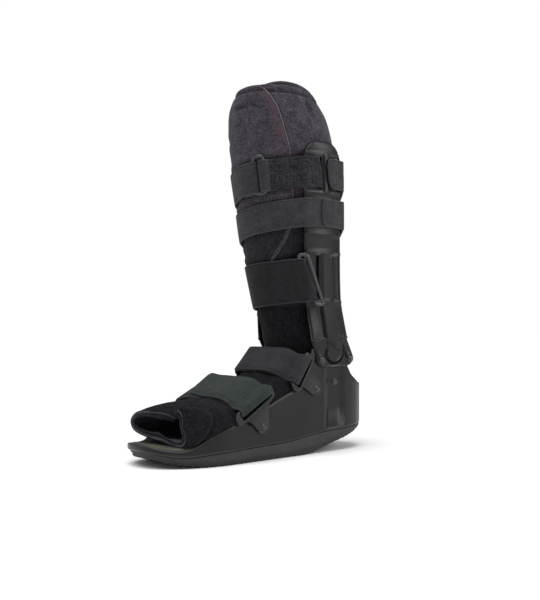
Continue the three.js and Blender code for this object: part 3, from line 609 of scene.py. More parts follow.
def outsole():
    """Rubber rocker sole: side stepped in under the lip, ribbed edge, cross grooves between the lugs."""
    profile = [("top", 0), ("top", 0.5), ("top", 1), ("side", 0.04), ("side", 0.3), ("side", 0.55), ("ledge", 0),
               ("ledge", 1), ("tread", (3.4, 1.1)), ("tread", (4.6, 0)), ("tread", (9, 0)), ("tread", (18, 0)),
               ("tread", (20, 1)), ("bottom", 0.35), ("bottom", 0)]

    def place(i, j):
        kind, value = profile[j]
        y = outline_y(i)
        top, low = band_height(y) - GAP, sole_bottom(y)
        toe_step = 2.2 * ease(y, TOE_BASE, TOE_END + 12)
        lug = 1.0 if i % 2 else 0.0
        if kind == "top":
            x, yy = outline_point(i, 0.6 + toe_step)
            return Vector((x * value, yy, band_height(yy) - GAP))
        if kind == "side":
            x, yy = outline_point(i, 0.6 + toe_step + 1.4 * value)
            return Vector((x, yy, top + (low - top) * value))
        if kind == "ledge":
            x, yy = outline_point(i, 2.0 + toe_step + (0.9 if value else 0))
            return Vector((x, yy, top + (low - top) * 0.62 - 0.5 * value))
        if kind == "tread":
            inset, lift = value
            wobble = 0.35 * noise.noise(Vector((i * 0.9, j * 0.7, 0)))
            x, yy = outline_point(i, inset + toe_step * 0.6 + wobble * (inset < 5))
            groove = 1.3 * lug if 3.5 < inset < 19 else 0.0
            return Vector((x, yy, sole_bottom(yy) + lift + groove * (sole_bottom(yy) + 2.5 < top)))
        x, yy = outline_point(i, 22)
        return Vector((x * value, yy, sole_bottom(yy) + 1.0))

    return closed_sheet(len(COLUMNS), len(profile), place, 0.02, round_columns=True)


def insole():
    """Foam bed with a softly rounded edge."""
    edge = WALL + GAP
    profile = [(edge + 0.4, "low", 0), (edge, "low", 0.8), (edge, "high", -2.2), (edge + 0.7, "high", -0.8),
               (edge + 2.2, "high", -0.1), (edge + 4, "high", 0)]
    rows = [("low", 0, 0), ("low", 0.5, 0)] + [("ring", *p) for p in profile] + [("high", 0.5, 0), ("high", 0, 0)]

    def bed(y):
        """Underside of the foam: it follows the floor and dips a little at the toes."""
        return band_height(y) + FLOOR_THICKNESS + GAP - 2.4 * ease(y, TOE_BASE - 15, TOE_END + 15)

    def place(i, j):
        row = rows[j]
        if row[0] == "ring":
            x, y = outline_point(i, row[1])
            return Vector((x, y, bed(y) + row[3] + (PAD_THICKNESS if row[2] == "high" else 0)))
        x, y = outline_point(i, edge + 4)
        return Vector((x * row[1], y, bed(y) + (PAD_THICKNESS if row[0] == "high" else 0)))

    return closed_sheet(len(COLUMNS), len(rows), place, 0.02, round_columns=True)


finish_piece("base_shell_moulded", base_shell(), PLASTIC, ["base_shell"])
finish_piece("outsole_tread", outsole(), TREAD, ["outsole"])
finish_piece("insole_foam_bed", insole(), FOAM, ["insole_pad"])


# Uprights

PLATE_COLUMNS = filled([-1, -0.93, -0.88, -0.82, -0.5, -0.42, -0.36, -0.24, -0.18, -0.14, -0.1, 0.26, 0.34, 0.48,
                        0.56, 0.62, 0.7, 0.76, 0.82, 0.88, 0.93, 0.96, 1], 0.03)
MIDDLE_WINDOW = {"low": 173.5, "high": 222.5, "gaps": ((-0.42, -0.24), (0.48, 0.82))}
TOP_WINDOW = {"low": 295, "high": 331.5, "gaps": ((-0.82, -0.1), (0.34, 0.82))}
FOOT_STEP = 128.5
CAP_ROUND = 22
FOOT_ROUND = 7
WINDOW_DEPTH = 2.1

# The lip that stands over the upright's foot: share of the way across the plate, height
STEP_LIP = [(-1, 127), (-0.6, 127.5), (-0.31, 130.4), (-0.12, 129), (0.05, 125), (0.17, 120.6), (0.4, 117.4),
            (0.47, 121), (0.52, 128), (0.6, 131.5), (0.8, 130.8), (1, 130)]

# The round tongue below the lip
TONGUE_MIDDLE_Y = sum(upright_edges(113)) / 2
TONGUE_MIDDLE_Z = 114.6
TONGUE_RADIUS = 11.4


def tongue_distance(y, z):
    """Distance outside the U-shaped end of the middle panel, in the side view."""
    return math.hypot(y - TONGUE_MIDDLE_Y, min(0, z - TONGUE_MIDDLE_Z)) - TONGUE_RADIUS


def foot_relief(u, y, z, lip):
    """The riveted foot: a round tongue standing over a deep crescent gap, a pad round each rivet. The gap's floor
    is painted with shade in upright_plate.
    """
    distance = tongue_distance(y, z)
    depth = 1.4
    if z < lip - 2:
        crescent = ease(distance, 0.1, 0.5) * ease(distance, 3.9, 3.4) * ease(z, 118, 115.5)
        depth = 0.5 if distance < 0.2 else 1.4
        depth += 2.5 * crescent
        depth -= 0.9 * bump_at(distance, -0.6, 1.6)
    slit = ease(u, 0.52, 0.56) * ease(u, 0.66, 0.62) * ease(z, 105, 108) * ease(z, 124, 121)
    pads = max(ease(math.hypot(y - ANKLE_Y + r["ahead"], z - r["height"]), 7.2, 6.2)
               for r in (RIVETS["upright_front"], RIVETS["upright_rear"]))
    return depth * (1 - pads) + 0.6 * pads + 2.4 * slit


def plate_outer(y, z):
    """The upright's outer face without its relief. At its foot it follows the base."""
    fade = 1 - ease(upright_share(z), 0.1, 0.3)
    return upright_outer(z) + fade * (side_x(y) - side_x(ANKLE_Y))


def plate_relief(u, y, z):
    """How far the face lies below the highest ribs."""
    window_low, window_high = MIDDLE_WINDOW["low"], MIDDLE_WINDOW["high"]
    lip = straight_at(STEP_LIP, u + 0.1)
    ridge = -1.9 * bump_at(z, lip, 2.6)
    if z < lip:
        return foot_relief(u, y, z, lip) + ridge
    if z < window_low - 5:
        groove = ease(u, -0.40, -0.35) * ease(u, -0.14, -0.19)
        line = bump_at(u, 0.72, 0.16)
        return 2.2 * groove + 0.5 * ease(u, -0.3, -0.6) + 0.45 * ease(u, 0.78, 0.86) - 0.7 * line + ridge
    rim = -0.9 * max(bump_at(z, window_low - 2.2, 5.2), bump_at(z, window_high + 2.6, 5.6))
    if z < window_high + 5:
        rib = ease(u, -0.26, -0.06) * ease(u, 0.5, 0.3)
        edge = max(ease(u, -0.44, -0.52), ease(u, 0.88, 0.93))
        inside = ease(z, window_low - 1, window_low + 0.4) * ease(z, window_high + 1, window_high - 0.4)
        return WINDOW_DEPTH * inside * (1 - max(rib, edge)) + rim
    low, high = TOP_WINDOW["low"], TOP_WINDOW["high"]
    ledge = max(bump_at(z, 246, 5), bump_at(z, low - 2.6, 5), bump_at(z, high + 3.6, 4.6))
    if low - 0.5 <= z <= high + 0.5:
        rib = ease(u, -0.14, 0.06) * ease(u, 0.38, 0.18)
        edge = max(ease(u, -0.86, -0.93), ease(u, 0.9, 0.95))
        return WINDOW_DEPTH * (1 - max(rib, edge))
    cap = ease(z, high + 5, high + 8) * ease(z, UPRIGHT_TOP, UPRIGHT_TOP - 7)
    return 0.9 - 1.5 * ledge - 0.7 * cap


def upright_plate():
    """Moulded side upright: rolled edges, windows with a standing rib, cross ledges, riveted foot."""
    stops = [UPRIGHT_BOTTOM, UPRIGHT_BOTTOM + 2, UPRIGHT_BOTTOM + FOOT_ROUND, FOOT_STEP - 1, FOOT_STEP + 0.4,
             UPRIGHT_TOP - CAP_ROUND, UPRIGHT_TOP - 12, UPRIGHT_TOP - 6, UPRIGHT_TOP - 2.5, UPRIGHT_TOP - 0.8,
             UPRIGHT_TOP, 243, 245, 247]
    for window in (MIDDLE_WINDOW, TOP_WINDOW):
        stops += [window["low"] - 4.6, window["low"] - 2.4, window["low"], window["high"], window["high"] + 2.4,
                  window["high"] + 4.6]
    heights = filled(stops + [99 + 0.9 * i for i in range(38)], 2.6)

    def place(i, j):
        u, z = PLATE_COLUMNS[i], heights[j]
        front, back = upright_edges(z)
        half, middle = (back - front) / 2, (front + back) / 2
        full = half
        over = z - (UPRIGHT_TOP - CAP_ROUND)
        under = UPRIGHT_BOTTOM + FOOT_ROUND - z
        for past, radius in ((over, CAP_ROUND), (under, FOOT_ROUND)):
            if past > 0:
                half += math.sqrt(max(0, radius**2 - past**2)) - radius
        y = middle + u * half
        bow = UPRIGHT_BOW * min(1, max(0, (z - BOW_START) / BOW_LENGTH))
        edge = min((1 - abs(u)) * half, UPRIGHT_TOP - z, z - UPRIGHT_BOTTOM)
        roll = 1.5 * (1 - min(1, max(0, edge / 2.4))) ** 2
        turn = (y - middle) / full
        return Vector((plate_outer(y, z) - bow * turn * turn - plate_relief(u, y, z) - roll, y, z))

    bm = bmesh.new()
    keys = lattice(bm, len(PLATE_COLUMNS), len(heights), place)
    # Painted shade: the deepest faces below the middle window (crescent gap, rivet slit and long groove) take the
    # near-black cloth instead of plastic.
    for face in bm.faces:
        z = face.calc_center_median().z
        depths = [plate_relief(PLATE_COLUMNS[keys[v][0]], v.co.y, heights[keys[v][1]]) for v in face.verts]
        face.material_index = int(min(depths) > (2.9 if z < 125 else 1.9) and z < MIDDLE_WINDOW["low"] - 5)
    holes = []
    for face in bm.faces:
        us = [PLATE_COLUMNS[keys[v][0]] for v in face.verts]
        zs = [heights[keys[v][1]] for v in face.verts]
        for window in (MIDDLE_WINDOW, TOP_WINDOW):
            inside = min(zs) >= window["low"] - 0.01 and max(zs) <= window["high"] + 0.01
            if inside and any(min(us) >= a - 0.01 and max(us) <= b + 0.01 for a, b in window["gaps"]):
                holes.append(face)
    bmesh.ops.delete(bm, geom=holes, context="FACES")
    if sum(f.normal.x for f in bm.faces) < 0:
        bmesh.ops.reverse_faces(bm, faces=bm.faces)
    back_face = bmesh.ops.extrude_face_region(bm, geom=bm.faces[:])
    moved = [v for v in back_face["geom"] if isinstance(v, bmesh.types.BMVert)]
    for v in moved:
        v.co.x = plate_outer(v.co.y, v.co.z) - UPRIGHT_THICKNESS
    bmesh.ops.recalc_face_normals(bm, faces=bm.faces)
    return bm


mirrored_pair("upright", upright_plate, [PLASTIC, FOOT_CLOTH_AND_SHADE], ["upright_{}"])


# Strap loops and rivets

def slot_point(slot, along, out):
    angle = math.radians(slot["angle"])
    y = ANKLE_Y - slot["ahead"] + along * math.cos(angle) - out * math.sin(angle)
    return Vector((y, slot["height"] + along * math.sin(angle) + out * math.cos(angle)))


def rounded(corners, radius, steps=4):
    """The corners of a closed outline, each cut by a short round."""
    out = []
    count = len(corners)
    for k in range(count):
        before, here, after = corners[k - 1], corners[k], corners[(k + 1) % count]
        size = radius[k] if isinstance(radius, (list, tuple)) else radius
        a = here + (before - here).normalized() * min(size, (before - here).length * 0.45)
        b = here + (after - here).normalized() * min(size, (after - here).length * 0.45)
        for i in range(steps + 1):
            t = i / steps
            out.append(a * (1 - t) ** 2 + here * 2 * t * (1 - t) + b * t * t)
    return out


def side_plate(outline, hole, low, high, bevel):
    """A plate lying against the base's side: its outline and slot in (y, z), its faces at low and high."""
    bm = bmesh.new()
    rings = []
    for points in filter(None, (outline, hole)):
        verts = [bm.verts.new((0, p.x, p.y)) for p in points]
        rings.append([bm.edges.new((a, b)) for a, b in zip(verts, verts[1:] + verts[:1])])
    bmesh.ops.triangle_fill(bm, use_beauty=True, use_dissolve=False, edges=[e for ring in rings for e in ring])
    flat = bm.faces[:]
    grown = bmesh.ops.extrude_face_region(bm, geom=flat)
    top = {v for v in grown["geom"] if isinstance(v, bmesh.types.BMVert)}
    for v in bm.verts:
        v.co.x = side_x(v.co.y) + GAP + (high if v in top else low)
    bmesh.ops.recalc_face_normals(bm, faces=bm.faces)
    rim = [e for e in bm.edges if e.calc_face_angle(0) > 0.9 and all(v in top for v in e.verts)]
    bmesh.ops.bevel(bm, geom=rim, offset=bevel, offset_type="OFFSET", segments=2, profile=0.5, affect="EDGES",
                    material=-1)
    return bm


def loop_plate(slot, rivet, nose):
    half = slot["length"] / 2 + LOOP_FRAME
    deep = SLOT_WIDTH / 2 + LOOP_FRAME
    under = deep + 2.2
    lobe = Vector((ANKLE_Y - rivet["ahead"], rivet["height"]))
    down = (lobe - slot_point(slot, 0, -under)).normalized()
    across = Vector((-down.y, down.x))
    round_lobe = [lobe + (down * math.cos(a) + across * math.sin(a)) * 8
                  for a in (math.radians(d) for d in range(-80, 81, 20))]
    corners = [slot_point(slot, -half - nose, 1.0), slot_point(slot, -half - nose, -under + 1.5),
               slot_point(slot, -half * 0.62, -under - 1.2), lobe - across * 9.5 - down * 3.0, *round_lobe,
               lobe + across * 8.8 - down * 3.0, slot_point(slot, half * 0.5, -under - 2.0),
               slot_point(slot, half + 0.6, -under + 1.4), slot_point(slot, half + 1.2, deep - 1.0),
               slot_point(slot, half - 2, deep), slot_point(slot, -half + 1.5, deep)]
    radius = [1.6, 2.2, 6, 4] + [0.5] * len(round_lobe) + [4, 8, 4, 3, 2, 2]
    outline = rounded(corners, radius)
    slot_corners = [slot_point(slot, a * slot["length"] / 2, b * SLOT_WIDTH / 2)
                    for a, b in ((-1, -2.1), (1, -2.1), (1, 1), (-1, 1))]
    return side_plate(outline, rounded(slot_corners, 1.2, 3), 0, LOOP_THICKNESS, 0.7)


def rivet_head(rivet):
    """A domed plastic rivet head on a thin collar."""
    bm = bmesh.new()
    profile = [(0, 2.9), (0.9, 2.82), (1.8, 2.55), (2.6, 2.05), (3.2, 1.35), (3.5, 0.55), (4.0, 0.42),
               (4.2, 0.28), (4.2, 0)]
    verts = [bm.verts.new((height, radius, 0)) for radius, height in profile]
    edges = [bm.edges.new(pair) for pair in zip(verts, verts[1:])]
    bmesh.ops.spin(bm, geom=verts + edges, cent=(0, 0, 0), axis=(1, 0, 0), angle=math.tau, steps=28,
                   use_merge=True, use_duplicate=False)
    close_up(bm, 0.01)
    y = ANKLE_Y - rivet["ahead"]
    slope = (side_x(y + 1) - side_x(y - 1)) / 2
    bmesh.ops.rotate(bm, verts=bm.verts, cent=(0, 0, 0), matrix=Matrix.Rotation(-math.atan(slope), 3, "Z"))
    bmesh.ops.translate(bm, vec=(side_x(y) + GAP + rivet["under"], y, rivet["height"]), verts=bm.verts)
    return bm


mirrored_pair("forefoot_loop", lambda: loop_plate(FOREFOOT_SLOT, RIVETS["forefoot_loop"], 4), PLASTIC,
              ["forefoot_loop_{}"])
mirrored_pair("instep_loop", lambda: loop_plate(INSTEP_SLOT, RIVETS["instep_loop"], 2), PLASTIC,
              ["instep_loop_{}"])
for spot, rivet in RIVETS.items():
    mirrored_pair(f"rivet_{spot}", lambda: rivet_head(rivet), NYLON_WITH_PAINTED_HIGHLIGHT, [f"rivet_{spot}_{{}}"])


# Straps

def strap_section(width, thickness):
    """Closed section of a strap: (across, out) with rounded edges and a pressed line inside each edge."""
    half, t = width / 2, thickness
    border = 3.0
    top = [(-half + 0.9, t), (-half + border - 0.6, t + 0.05), (-half + border, t - 0.32),
           (-half + border + 0.6, t + 0.02)]
    inner = filled([-half + border + 0.8, half - border - 0.8], 3.2)
    top += [(a, t + 0.05) for a in inner[1:-1]] + [(-a, b) for a, b in reversed(top)]
    edge = [(half - 0.25, t * 0.82), (half, t * 0.5), (half - 0.25, t * 0.18)]
    under = [(half - 0.9, 0), (half * 0.4, 0), (-half * 0.4, 0), (-half + 0.9, 0)]
    return top + edge + under + [(-a, b) for a, b in reversed(edge)]


def strap_piece(name, stations, place, width, thickness, materials, nodes, round_ends=(0, 0), closed=False,
                slot="strap_webbing", pick=None):
    """A strap through its stations. place(station, across, out) gives a point. Round ends are radii."""
    section = strap_section(width, thickness)
    half = width / 2
    lengths = [0.0]
    for a, b in zip(stations, stations[1:]):
        lengths.append(lengths[-1] + (place(b, 0, 0) - place(a, 0, 0)).length)
    total = lengths[-1]

    def narrowed(at):
        share = 1.0
        for distance, radius in ((at, round_ends[0]), (total - at, round_ends[1])):
            if radius and distance < radius:
                share = min(share, (half - radius + math.sqrt(max(0, radius**2 - (radius - distance) ** 2))) / half)
        return share

    bm = bmesh.new()
    marks = bm.verts.layers.float_vector.new("strap_mm")
    edges = bm.verts.layers.float.new("strap_edge")

    def spot(i, j):
        a, out = section[i]
        return place(stations[j], a * narrowed(lengths[j]), out)

    keys = lattice(bm, len(section), len(stations), spot, round_columns=True, round_rows=closed)
    for v, (i, j) in keys.items():
        a = section[i][0]
        v[marks] = Vector((a, lengths[j], 0))
        v[edges] = half - abs(a) if closed else min(half - abs(a), lengths[j], total - lengths[j])
    close_up(bm, 0.005)
    return finish_piece(name, bm, materials, nodes, pick)


def band_point(strap, angle, across, offset, sides=(-1, 1)):
    """A point of a strap round the leg: it climbs towards the near side by its tilt."""
    z = strap["height"] + strap["tilt"] * math.cos(angle) + across
    z += strap.get("rear_rise", 0) * ease(math.degrees(angle), 285, 335)
    return wrap_point(z, angle, offset, sides)


def leg_wrap(strap, clear=STRAP_CLEAR):
    """Place function for a strap round the leg: station is the angle in degrees."""
    return lambda station, across, out: band_point(strap, math.radians(station), across, clear + out)


def near_front_only(angle):
    return (1,) if angle % math.tau < math.pi / 2 else ()


strap_piece("mid_strap_band", filled([0, 357.5], 2.5), leg_wrap(MID_STRAP), MID_STRAP["width"], STRAP_THICKNESS,
            LEG_STRAP, ["mid_strap"], closed=True)
strap_piece("mid_strap_end_tab", filled([-23, 3], 1.5), leg_wrap(MID_STRAP, STRAP_CLEAR + STRAP_THICKNESS + GAP),
            MID_STRAP["width"] - 2, STRAP_THICKNESS - 0.6, LEG_STRAP, ["mid_strap_tab"], round_ends=(5, 5))

# A folding strap is laid out flat at this radius
LEG_RADIUS = 56.0
MM_PER_DEGREE = LEG_RADIUS * math.pi / 180


def developed_wrap(strap, path, slant=0.0, sides_at=lambda angle: (-1, 1)):
    """Stations and place function for a strap that folds on itself.
    The path holds (degrees round the leg, millimetres off it); slant turns a strap's end with height."""
    flat = [Vector((a * MM_PER_DEGREE, o)) for a, o in path]
    stations = []
    for k, p in enumerate(flat):
        before, after = flat[max(0, k - 1)], flat[min(len(flat) - 1, k + 1)]
        along = (after - before).normalized()
        stations.append((p, Vector((-along.y, along.x)), ease(path[k][0], 90, 40)))

    def place(station, across, out):
        p, normal, fade = station
        spot = p + normal * out
        angle = math.radians(spot.x / MM_PER_DEGREE + slant * across * fade)
        return band_point(strap, angle, across, STRAP_CLEAR + spot.y, sides_at(angle))
    return stations, place


def fold_path(bar, towards, thickness, radius, tail, length, settle=14):
    """Path of a strap that comes from a stitched tail, turns round a bar and goes on: degrees and offset."""
    bottom = thickness
    middle = bottom + radius
    points = [(bar + towards * tail * (1 - i / 6), bottom - (1.2 if i == 0 else 0)) for i in range(6)]
    for i in range(9):
        turn = math.pi * i / 8
        points.append((bar - towards * radius * math.sin(turn), middle - radius * math.cos(turn)))
    upper = middle + radius
    for i in range(1, 9):
        t = i / 8
        points.append((bar + towards * (tail + settle) * t, upper * (1 - ease(t, 0.35, 1))))
    here = bar + towards * (tail + settle)
    steps = max(1, math.ceil(abs(length - here) / 2.5))
    points += [(here + (length - here) * i / steps, 0.0) for i in range(1, steps + 1)]
    return points


FOLD_RADIUS = 1.3
TOP_THICKNESS = 2.2
LOWER_THICKNESS = 2.4

path = fold_path(TOP_RING_ANGLE + 5.6, 1, TOP_THICKNESS, FOLD_RADIUS, 16, 352)
strap_piece("top_strap_band", *developed_wrap(TOP_STRAP, path), TOP_STRAP["width"], TOP_THICKNESS, LEG_STRAP,
            ["top_strap"], round_ends=(0, 8))
path = fold_path(TOP_RING_ANGLE - 2.6, -1, TOP_THICKNESS, FOLD_RADIUS, 3, 52, 5)
strap_piece("top_strap_ring_fold", *developed_wrap(TOP_STRAP, path[::-1]), TOP_STRAP["width"], TOP_THICKNESS,
            LEG_STRAP, ())
strap_piece("top_strap_pile_face", filled([3.5, 58.5], 1.8), leg_wrap(TOP_STRAP, STRAP_CLEAR + 1.2),
            TOP_STRAP["width"] - 0.6, 3.0, PILE, ["top_strap_pile"], slot="strap_pile")
path = fold_path(LOWER_RING_ANGLE + 4.5, 1, TOP_THICKNESS, FOLD_RADIUS, 12, 337)
path_on_leg = developed_wrap({**LOWER_STRAP, "rear_rise": 5}, path, 0.29, near_front_only)
strap_piece("lower_strap_band", *path_on_leg, LOWER_STRAP["width"], LOWER_THICKNESS, SHADED_LOW_STRAP, ["lower_strap"])


def ring_frame(name, strap, degrees, slant, size, bar, stand, nodes, tall=(0, 0)):
    """A moulded strap ring: a rounded rectangle of thick wire that follows the leg."""
    wide, high = size
    corners = [Vector((-wide / 2, -high / 2 - tall[0])), Vector((wide / 2, -high / 2 - tall[0])),
               Vector((wide / 2, high / 2 + tall[1])), Vector((-wide / 2, high / 2 + tall[1]))]
    flat = rounded(corners, 4.2, 6)
    path = []
    for a, b in zip(flat, flat[1:] + flat[:1]):
        n = max(1, math.ceil((b - a).length / 3))
        path += [a + (b - a) * i / n for i in range(n)]

    def surface(p, out):
        angle = math.radians(degrees + p.x / MM_PER_DEGREE + slant * p.y)
        return band_point(strap, angle, p.y, stand + out)

    centres = [surface(p, 0) for p in path]
    outs = [(surface(p, 1) - surface(p, 0)).normalized() for p in path]
    count = len(path)

    def place(i, j):
        turn = math.tau * i / 12
        along = (centres[(j + 1) % count] - centres[j - 1]).normalized()
        side = along.cross(outs[j]).normalized()
        return centres[j] + (side * math.cos(turn) * 1.15 + outs[j] * math.sin(turn) * 0.85) * bar / 2

    bm = closed_sheet(12, count, place, 0.005, round_columns=True, round_rows=True)
    finish_piece(name, bm, NYLON_WITH_PAINTED_HIGHLIGHT, nodes)


ring_frame("top_strap_ring_moulded", TOP_STRAP, TOP_RING_ANGLE, 0.0, (9.5, TOP_STRAP["width"] + 4.5), 3.2, 5.6,
           ["top_strap_ring"], tall=(-1.2, 2.6))
ring_frame("lower_strap_ring_moulded", LOWER_STRAP, LOWER_RING_ANGLE + 0.6, 0.29, (9.5, LOWER_STRAP["width"] + 4),
           3.6, 5.8, ["lower_strap_ring"], tall=(1, 2))


def foot_strap(name, slot, rise, back_to, thickness, material, node_name, end_slant, lower_slide):
    """Strap over the foot: arches from loop to loop, turns round the near loop's bar and lies back on itself."""
    edge = side_x(slot_point(slot, 0, 0).x)
    low, high = edge - 4, edge + GAP + LOOP_THICKNESS + 1
    half = thickness / 2
    top = SLOT_WIDTH / 2 + LOOP_FRAME + GAP
    steps, seat = 26, 0.9

    def crown(x):
        arch = rise * (1 - abs(x / low) ** 7)
        sag = 1.2 * noise.noise(Vector((x * 0.05, slot["ahead"] * 0.1, 3)))
        return arch * 1.15 + sag, arch * 0.85 - sag * 0.6

    path = [(-high - half - 1, 3, 3), (-high, seat, seat), (-(edge - 1), seat, seat)]
    for i in range(steps + 1):
        x = low * (-1 + 2 * i / steps)
        path.append((x, *crown(x)))
    path += [(edge - 1, seat, seat), (high + half, seat, seat)]
    for i in range(1, 8):
        turn = math.pi * i / 8
        lift = seat + (top + half - seat) * (1 - math.cos(turn)) / 2
        path.append((high + half + 1.0 * math.sin(turn), lift, lift))
    path += [(high + half - 0.2, top + half, top + half), (high + half - 1.2, top + half + 0.7, top + half + 0.7)]
    for i in range(steps + 1):
        x = low + 1 + (back_to - low - 1) * i / steps
        ramp = (top + half + 1) * ease(x, low * 0.6, low)
        lift = 2.4 * ease(i / steps, 0.72, 1)
        front, rear = crown(min(x, low))
        path.append((x, max(front + thickness + 0.5, ramp) + lift, max(rear + thickness + 0.5, ramp) + lift))
    width = slot["length"] - 1
    turn_back = 3 + steps + 4

    def station_at(k):
        return path[k], path[max(0, k - 1)], path[min(len(path) - 1, k + 1)]

    def place(k, across, out):
        here, before, after = station_at(k)
        share = (across / width) + 0.5
        height = here[1] + (here[2] - here[1]) * share
        rise_over = (after[1] + (after[2] - after[1]) * share) - (before[1] + (before[2] - before[1]) * share)
        along = Vector((after[0] - before[0], rise_over)).normalized()
        depth = (out - half)
        x = here[0] - depth * along.y
        p = slot_point(slot, across, height + depth * along.x)
        if k > turn_back:
            t = (k - turn_back) / (len(path) - 1 - turn_back)
            x += end_slant * across / (width / 2) * ease(t, 0.3, 1)
        else:
            far = ease(here[0], 5, -low)
            p.x -= lower_slide * far
        return Vector((x, p.x, p.y))

    under_layer = sum((place(k + 1, 0, 0) - place(k, 0, 0)).length for k in range(turn_back - 9))

    def pick(mesh, face):
        return int(mesh.attributes["strap_mm"].data[face.vertices[0]].vector.y < under_layer)

    strap_piece(name, list(range(len(path))), place, width, thickness, [material, STRAP], [node_name],
                round_ends=(0, 5), pick=pick)


foot_strap("forefoot_strap_folded", FOREFOOT_SLOT, 15.5, -36, 3.2, FOREFOOT, "forefoot_strap", -6.5, 13)
foot_strap("instep_strap_folded", INSTEP_SLOT, 21.5, -46, 2.8, STRAP, "instep_strap", 0, 4)


# Liner

FLAP_EDGE = [(196, 118), (203, 80), (209, 65), (217, 57), (225, 50), (243, 38), (262, 31), (300, 28), (335, 27.5),
             (360, 30.5), (382, 35), (396, 42), (404, 50), (410, 60)]
FLAP_FAR = 202
FLAP_THICKNESS = 4
DARK_CLOTH_TOP = 166


def flap_cover(angle, z):
    """1 where the outer flap lies over the main liner."""
    degrees = math.degrees(angle) % 360
    start = curve_at(FLAP_EDGE, z)
    return ease(degrees, start - 0.5, start + 2.5) * ease(degrees, FLAP_FAR, FLAP_FAR - 3) * ease(z, 190, 199)


# Soft creases in the leg's cloth: degrees round the leg and height of the middle, half its size both ways,
# depth, slope
DENTS = [(84, 386, 14, 2.2, 5.0, -0.1), (62, 385, 9, 2.4, 4.0, 0.5), (352, 384, 3, 8, 5.0, 0.7),
         (75, 362, 12, 3.5, 1.3, 0.2), (20, 352, 16, 7, 1.3, 0.2), (120, 352, 20, 6, 1.2, -0.1),
         (250, 360, 24, 6, 1.5, 0.1), (300, 330, 14, 8, 1.3, -0.15)]

# Straps that press into the cloth, and how far it puffs beside them
STRAP_BANDS = [(LOWER_STRAP, 3.0), (MID_STRAP, 1.6), (TOP_STRAP, 2.4)]


def cloth_swell(angle, z):
    """Soft unevenness of foam cloth: lumps, creases, and a slight puff above and below each strap."""
    degrees = math.degrees(angle) % 360
    round_about = Vector((math.cos(angle) * 2.1, math.sin(angle) * 2.1, z / 26))
    out = 0.9 * noise.noise(round_about) + 0.45 * noise.noise(round_about * 2.7)
    for strap, puff in STRAP_BANDS:
        middle = strap["height"] + strap["tilt"] * math.cos(angle)
        edge = abs(z - middle) - strap["width"] / 2
        out += puff * (0.5 * bump_at(edge, 7, 16) - 0.8 * ease(edge, 3, -3))
    top = lobe_top(angle)
    out -= 6.5 * (1 - min(1, (top - min(z, top)) / 30)) ** 2 * bump_at(degrees, 135, 130)
    out += 2.6 * bump_at(z, 378, 70) * bump_at(degrees, 312, 90)
    for at, height, reach, rise, depth, slope in DENTS:
        du = (degrees - at + 180) % 360 - 180
        dz = z - height - slope * du
        out -= depth * math.exp(-((du / reach) ** 2)) * math.exp(-((dz / rise) ** 2))
    return out


def top_seam(below, deep, proud):
    """The stitched line under the top edge and the roll above it, by distance below the edge."""
    return -deep * bump_at(below, 7.0, 3.4) + proud * bump_at(below, 2.8, 5)


def below_mid_strap(face):
    """True where a face of the leg liner lies under the middle of the mid strap, where the cloth takes its darker
    copy as painted shade.
    """
    return face.center.z / MM < MID_STRAP["height"] + MID_STRAP["tilt"] * face.center.x / MM / (LEG_WIDTH / 2)


def main_liner():
    """Padded leg: outer face, rolled top edge with a stitched seam line, inner face. Open at both ends."""
    around = 168
    bottom = 46
    outer = 96
    rim = [(0.4, -1.4), (-0.6, 0.4), (-2.4, 1.6), (-4.4, 1.5), (-6.2, 0.2), (-7.2, -2.0)]
    inner = 26
    rows = outer + len(rim) + inner

    def place(i, j):
        angle = math.tau * i / around
        top = lobe_top(angle) - 1.6
        if j < outer:
            t = j / (outer - 1)
            z = bottom + (top - bottom) * (1 - (1 - t) ** 1.25)
            fade = ease(z, 60, 120)
            cover = flap_cover(angle, z)
            offset = -0.6 + fade * (cloth_swell(angle, z) + top_seam(top - z, 3.0, 1.2)) * (1 - cover)
            return leg_point(z, angle, offset - (FLAP_THICKNESS + 0.3) * cover)
        if j < outer + len(rim):
            inset, lift = rim[j - outer]
            cover = flap_cover(angle, top)
            p = leg_point(top, angle, inset - 2.2 * cover)
            return p + Vector((0, 0, lift - 2.5 * cover))
        t = (j - outer - len(rim) + 1) / inner
        z = (top - 3) + (bottom - top + 3) * t
        return leg_point(z, angle, -LINER_PADDING + 0.6 * noise.noise(Vector((i * 0.2, t * 9, 4))) * (1 - t))

    bm = bmesh.new()
    marks = bm.verts.layers.float.new("edge_sheen")
    for v, (i, j) in lattice(bm, around, rows, place, round_columns=True, round_rows=True).items():
        # Painted sheen: marks the cloth beside the flap's edge, high on the leg.
        off = 360 * i / around - curve_at(FLAP_EDGE, v.co.z)
        v[marks] = 0.6 * ease(abs(off + 2), 13, 3) * ease(v.co.z, 270, 300)
    close_up(bm, 0.01)

    def pick(mesh, face):
        height = face.center.z / MM
        middle = Vector((0, leg_middle(min(max(height, 40), LINER_TOP)) * MM, face.center.z))
        if face.normal.dot(face.center - middle) < 0 and height < 392:
            return 2
        if height < DARK_CLOTH_TOP:
            return 1
        # Below the mid strap, the darker cloth copy paints in shade.
        return 3 if below_mid_strap(face) else 0

    materials = [LEG_CLOTH, FOOT_CLOTH_AND_SHADE, LINING, SHADED_CLOTH]
    return finish_piece("liner_leg_padded", bm, materials, ["liner"], pick)


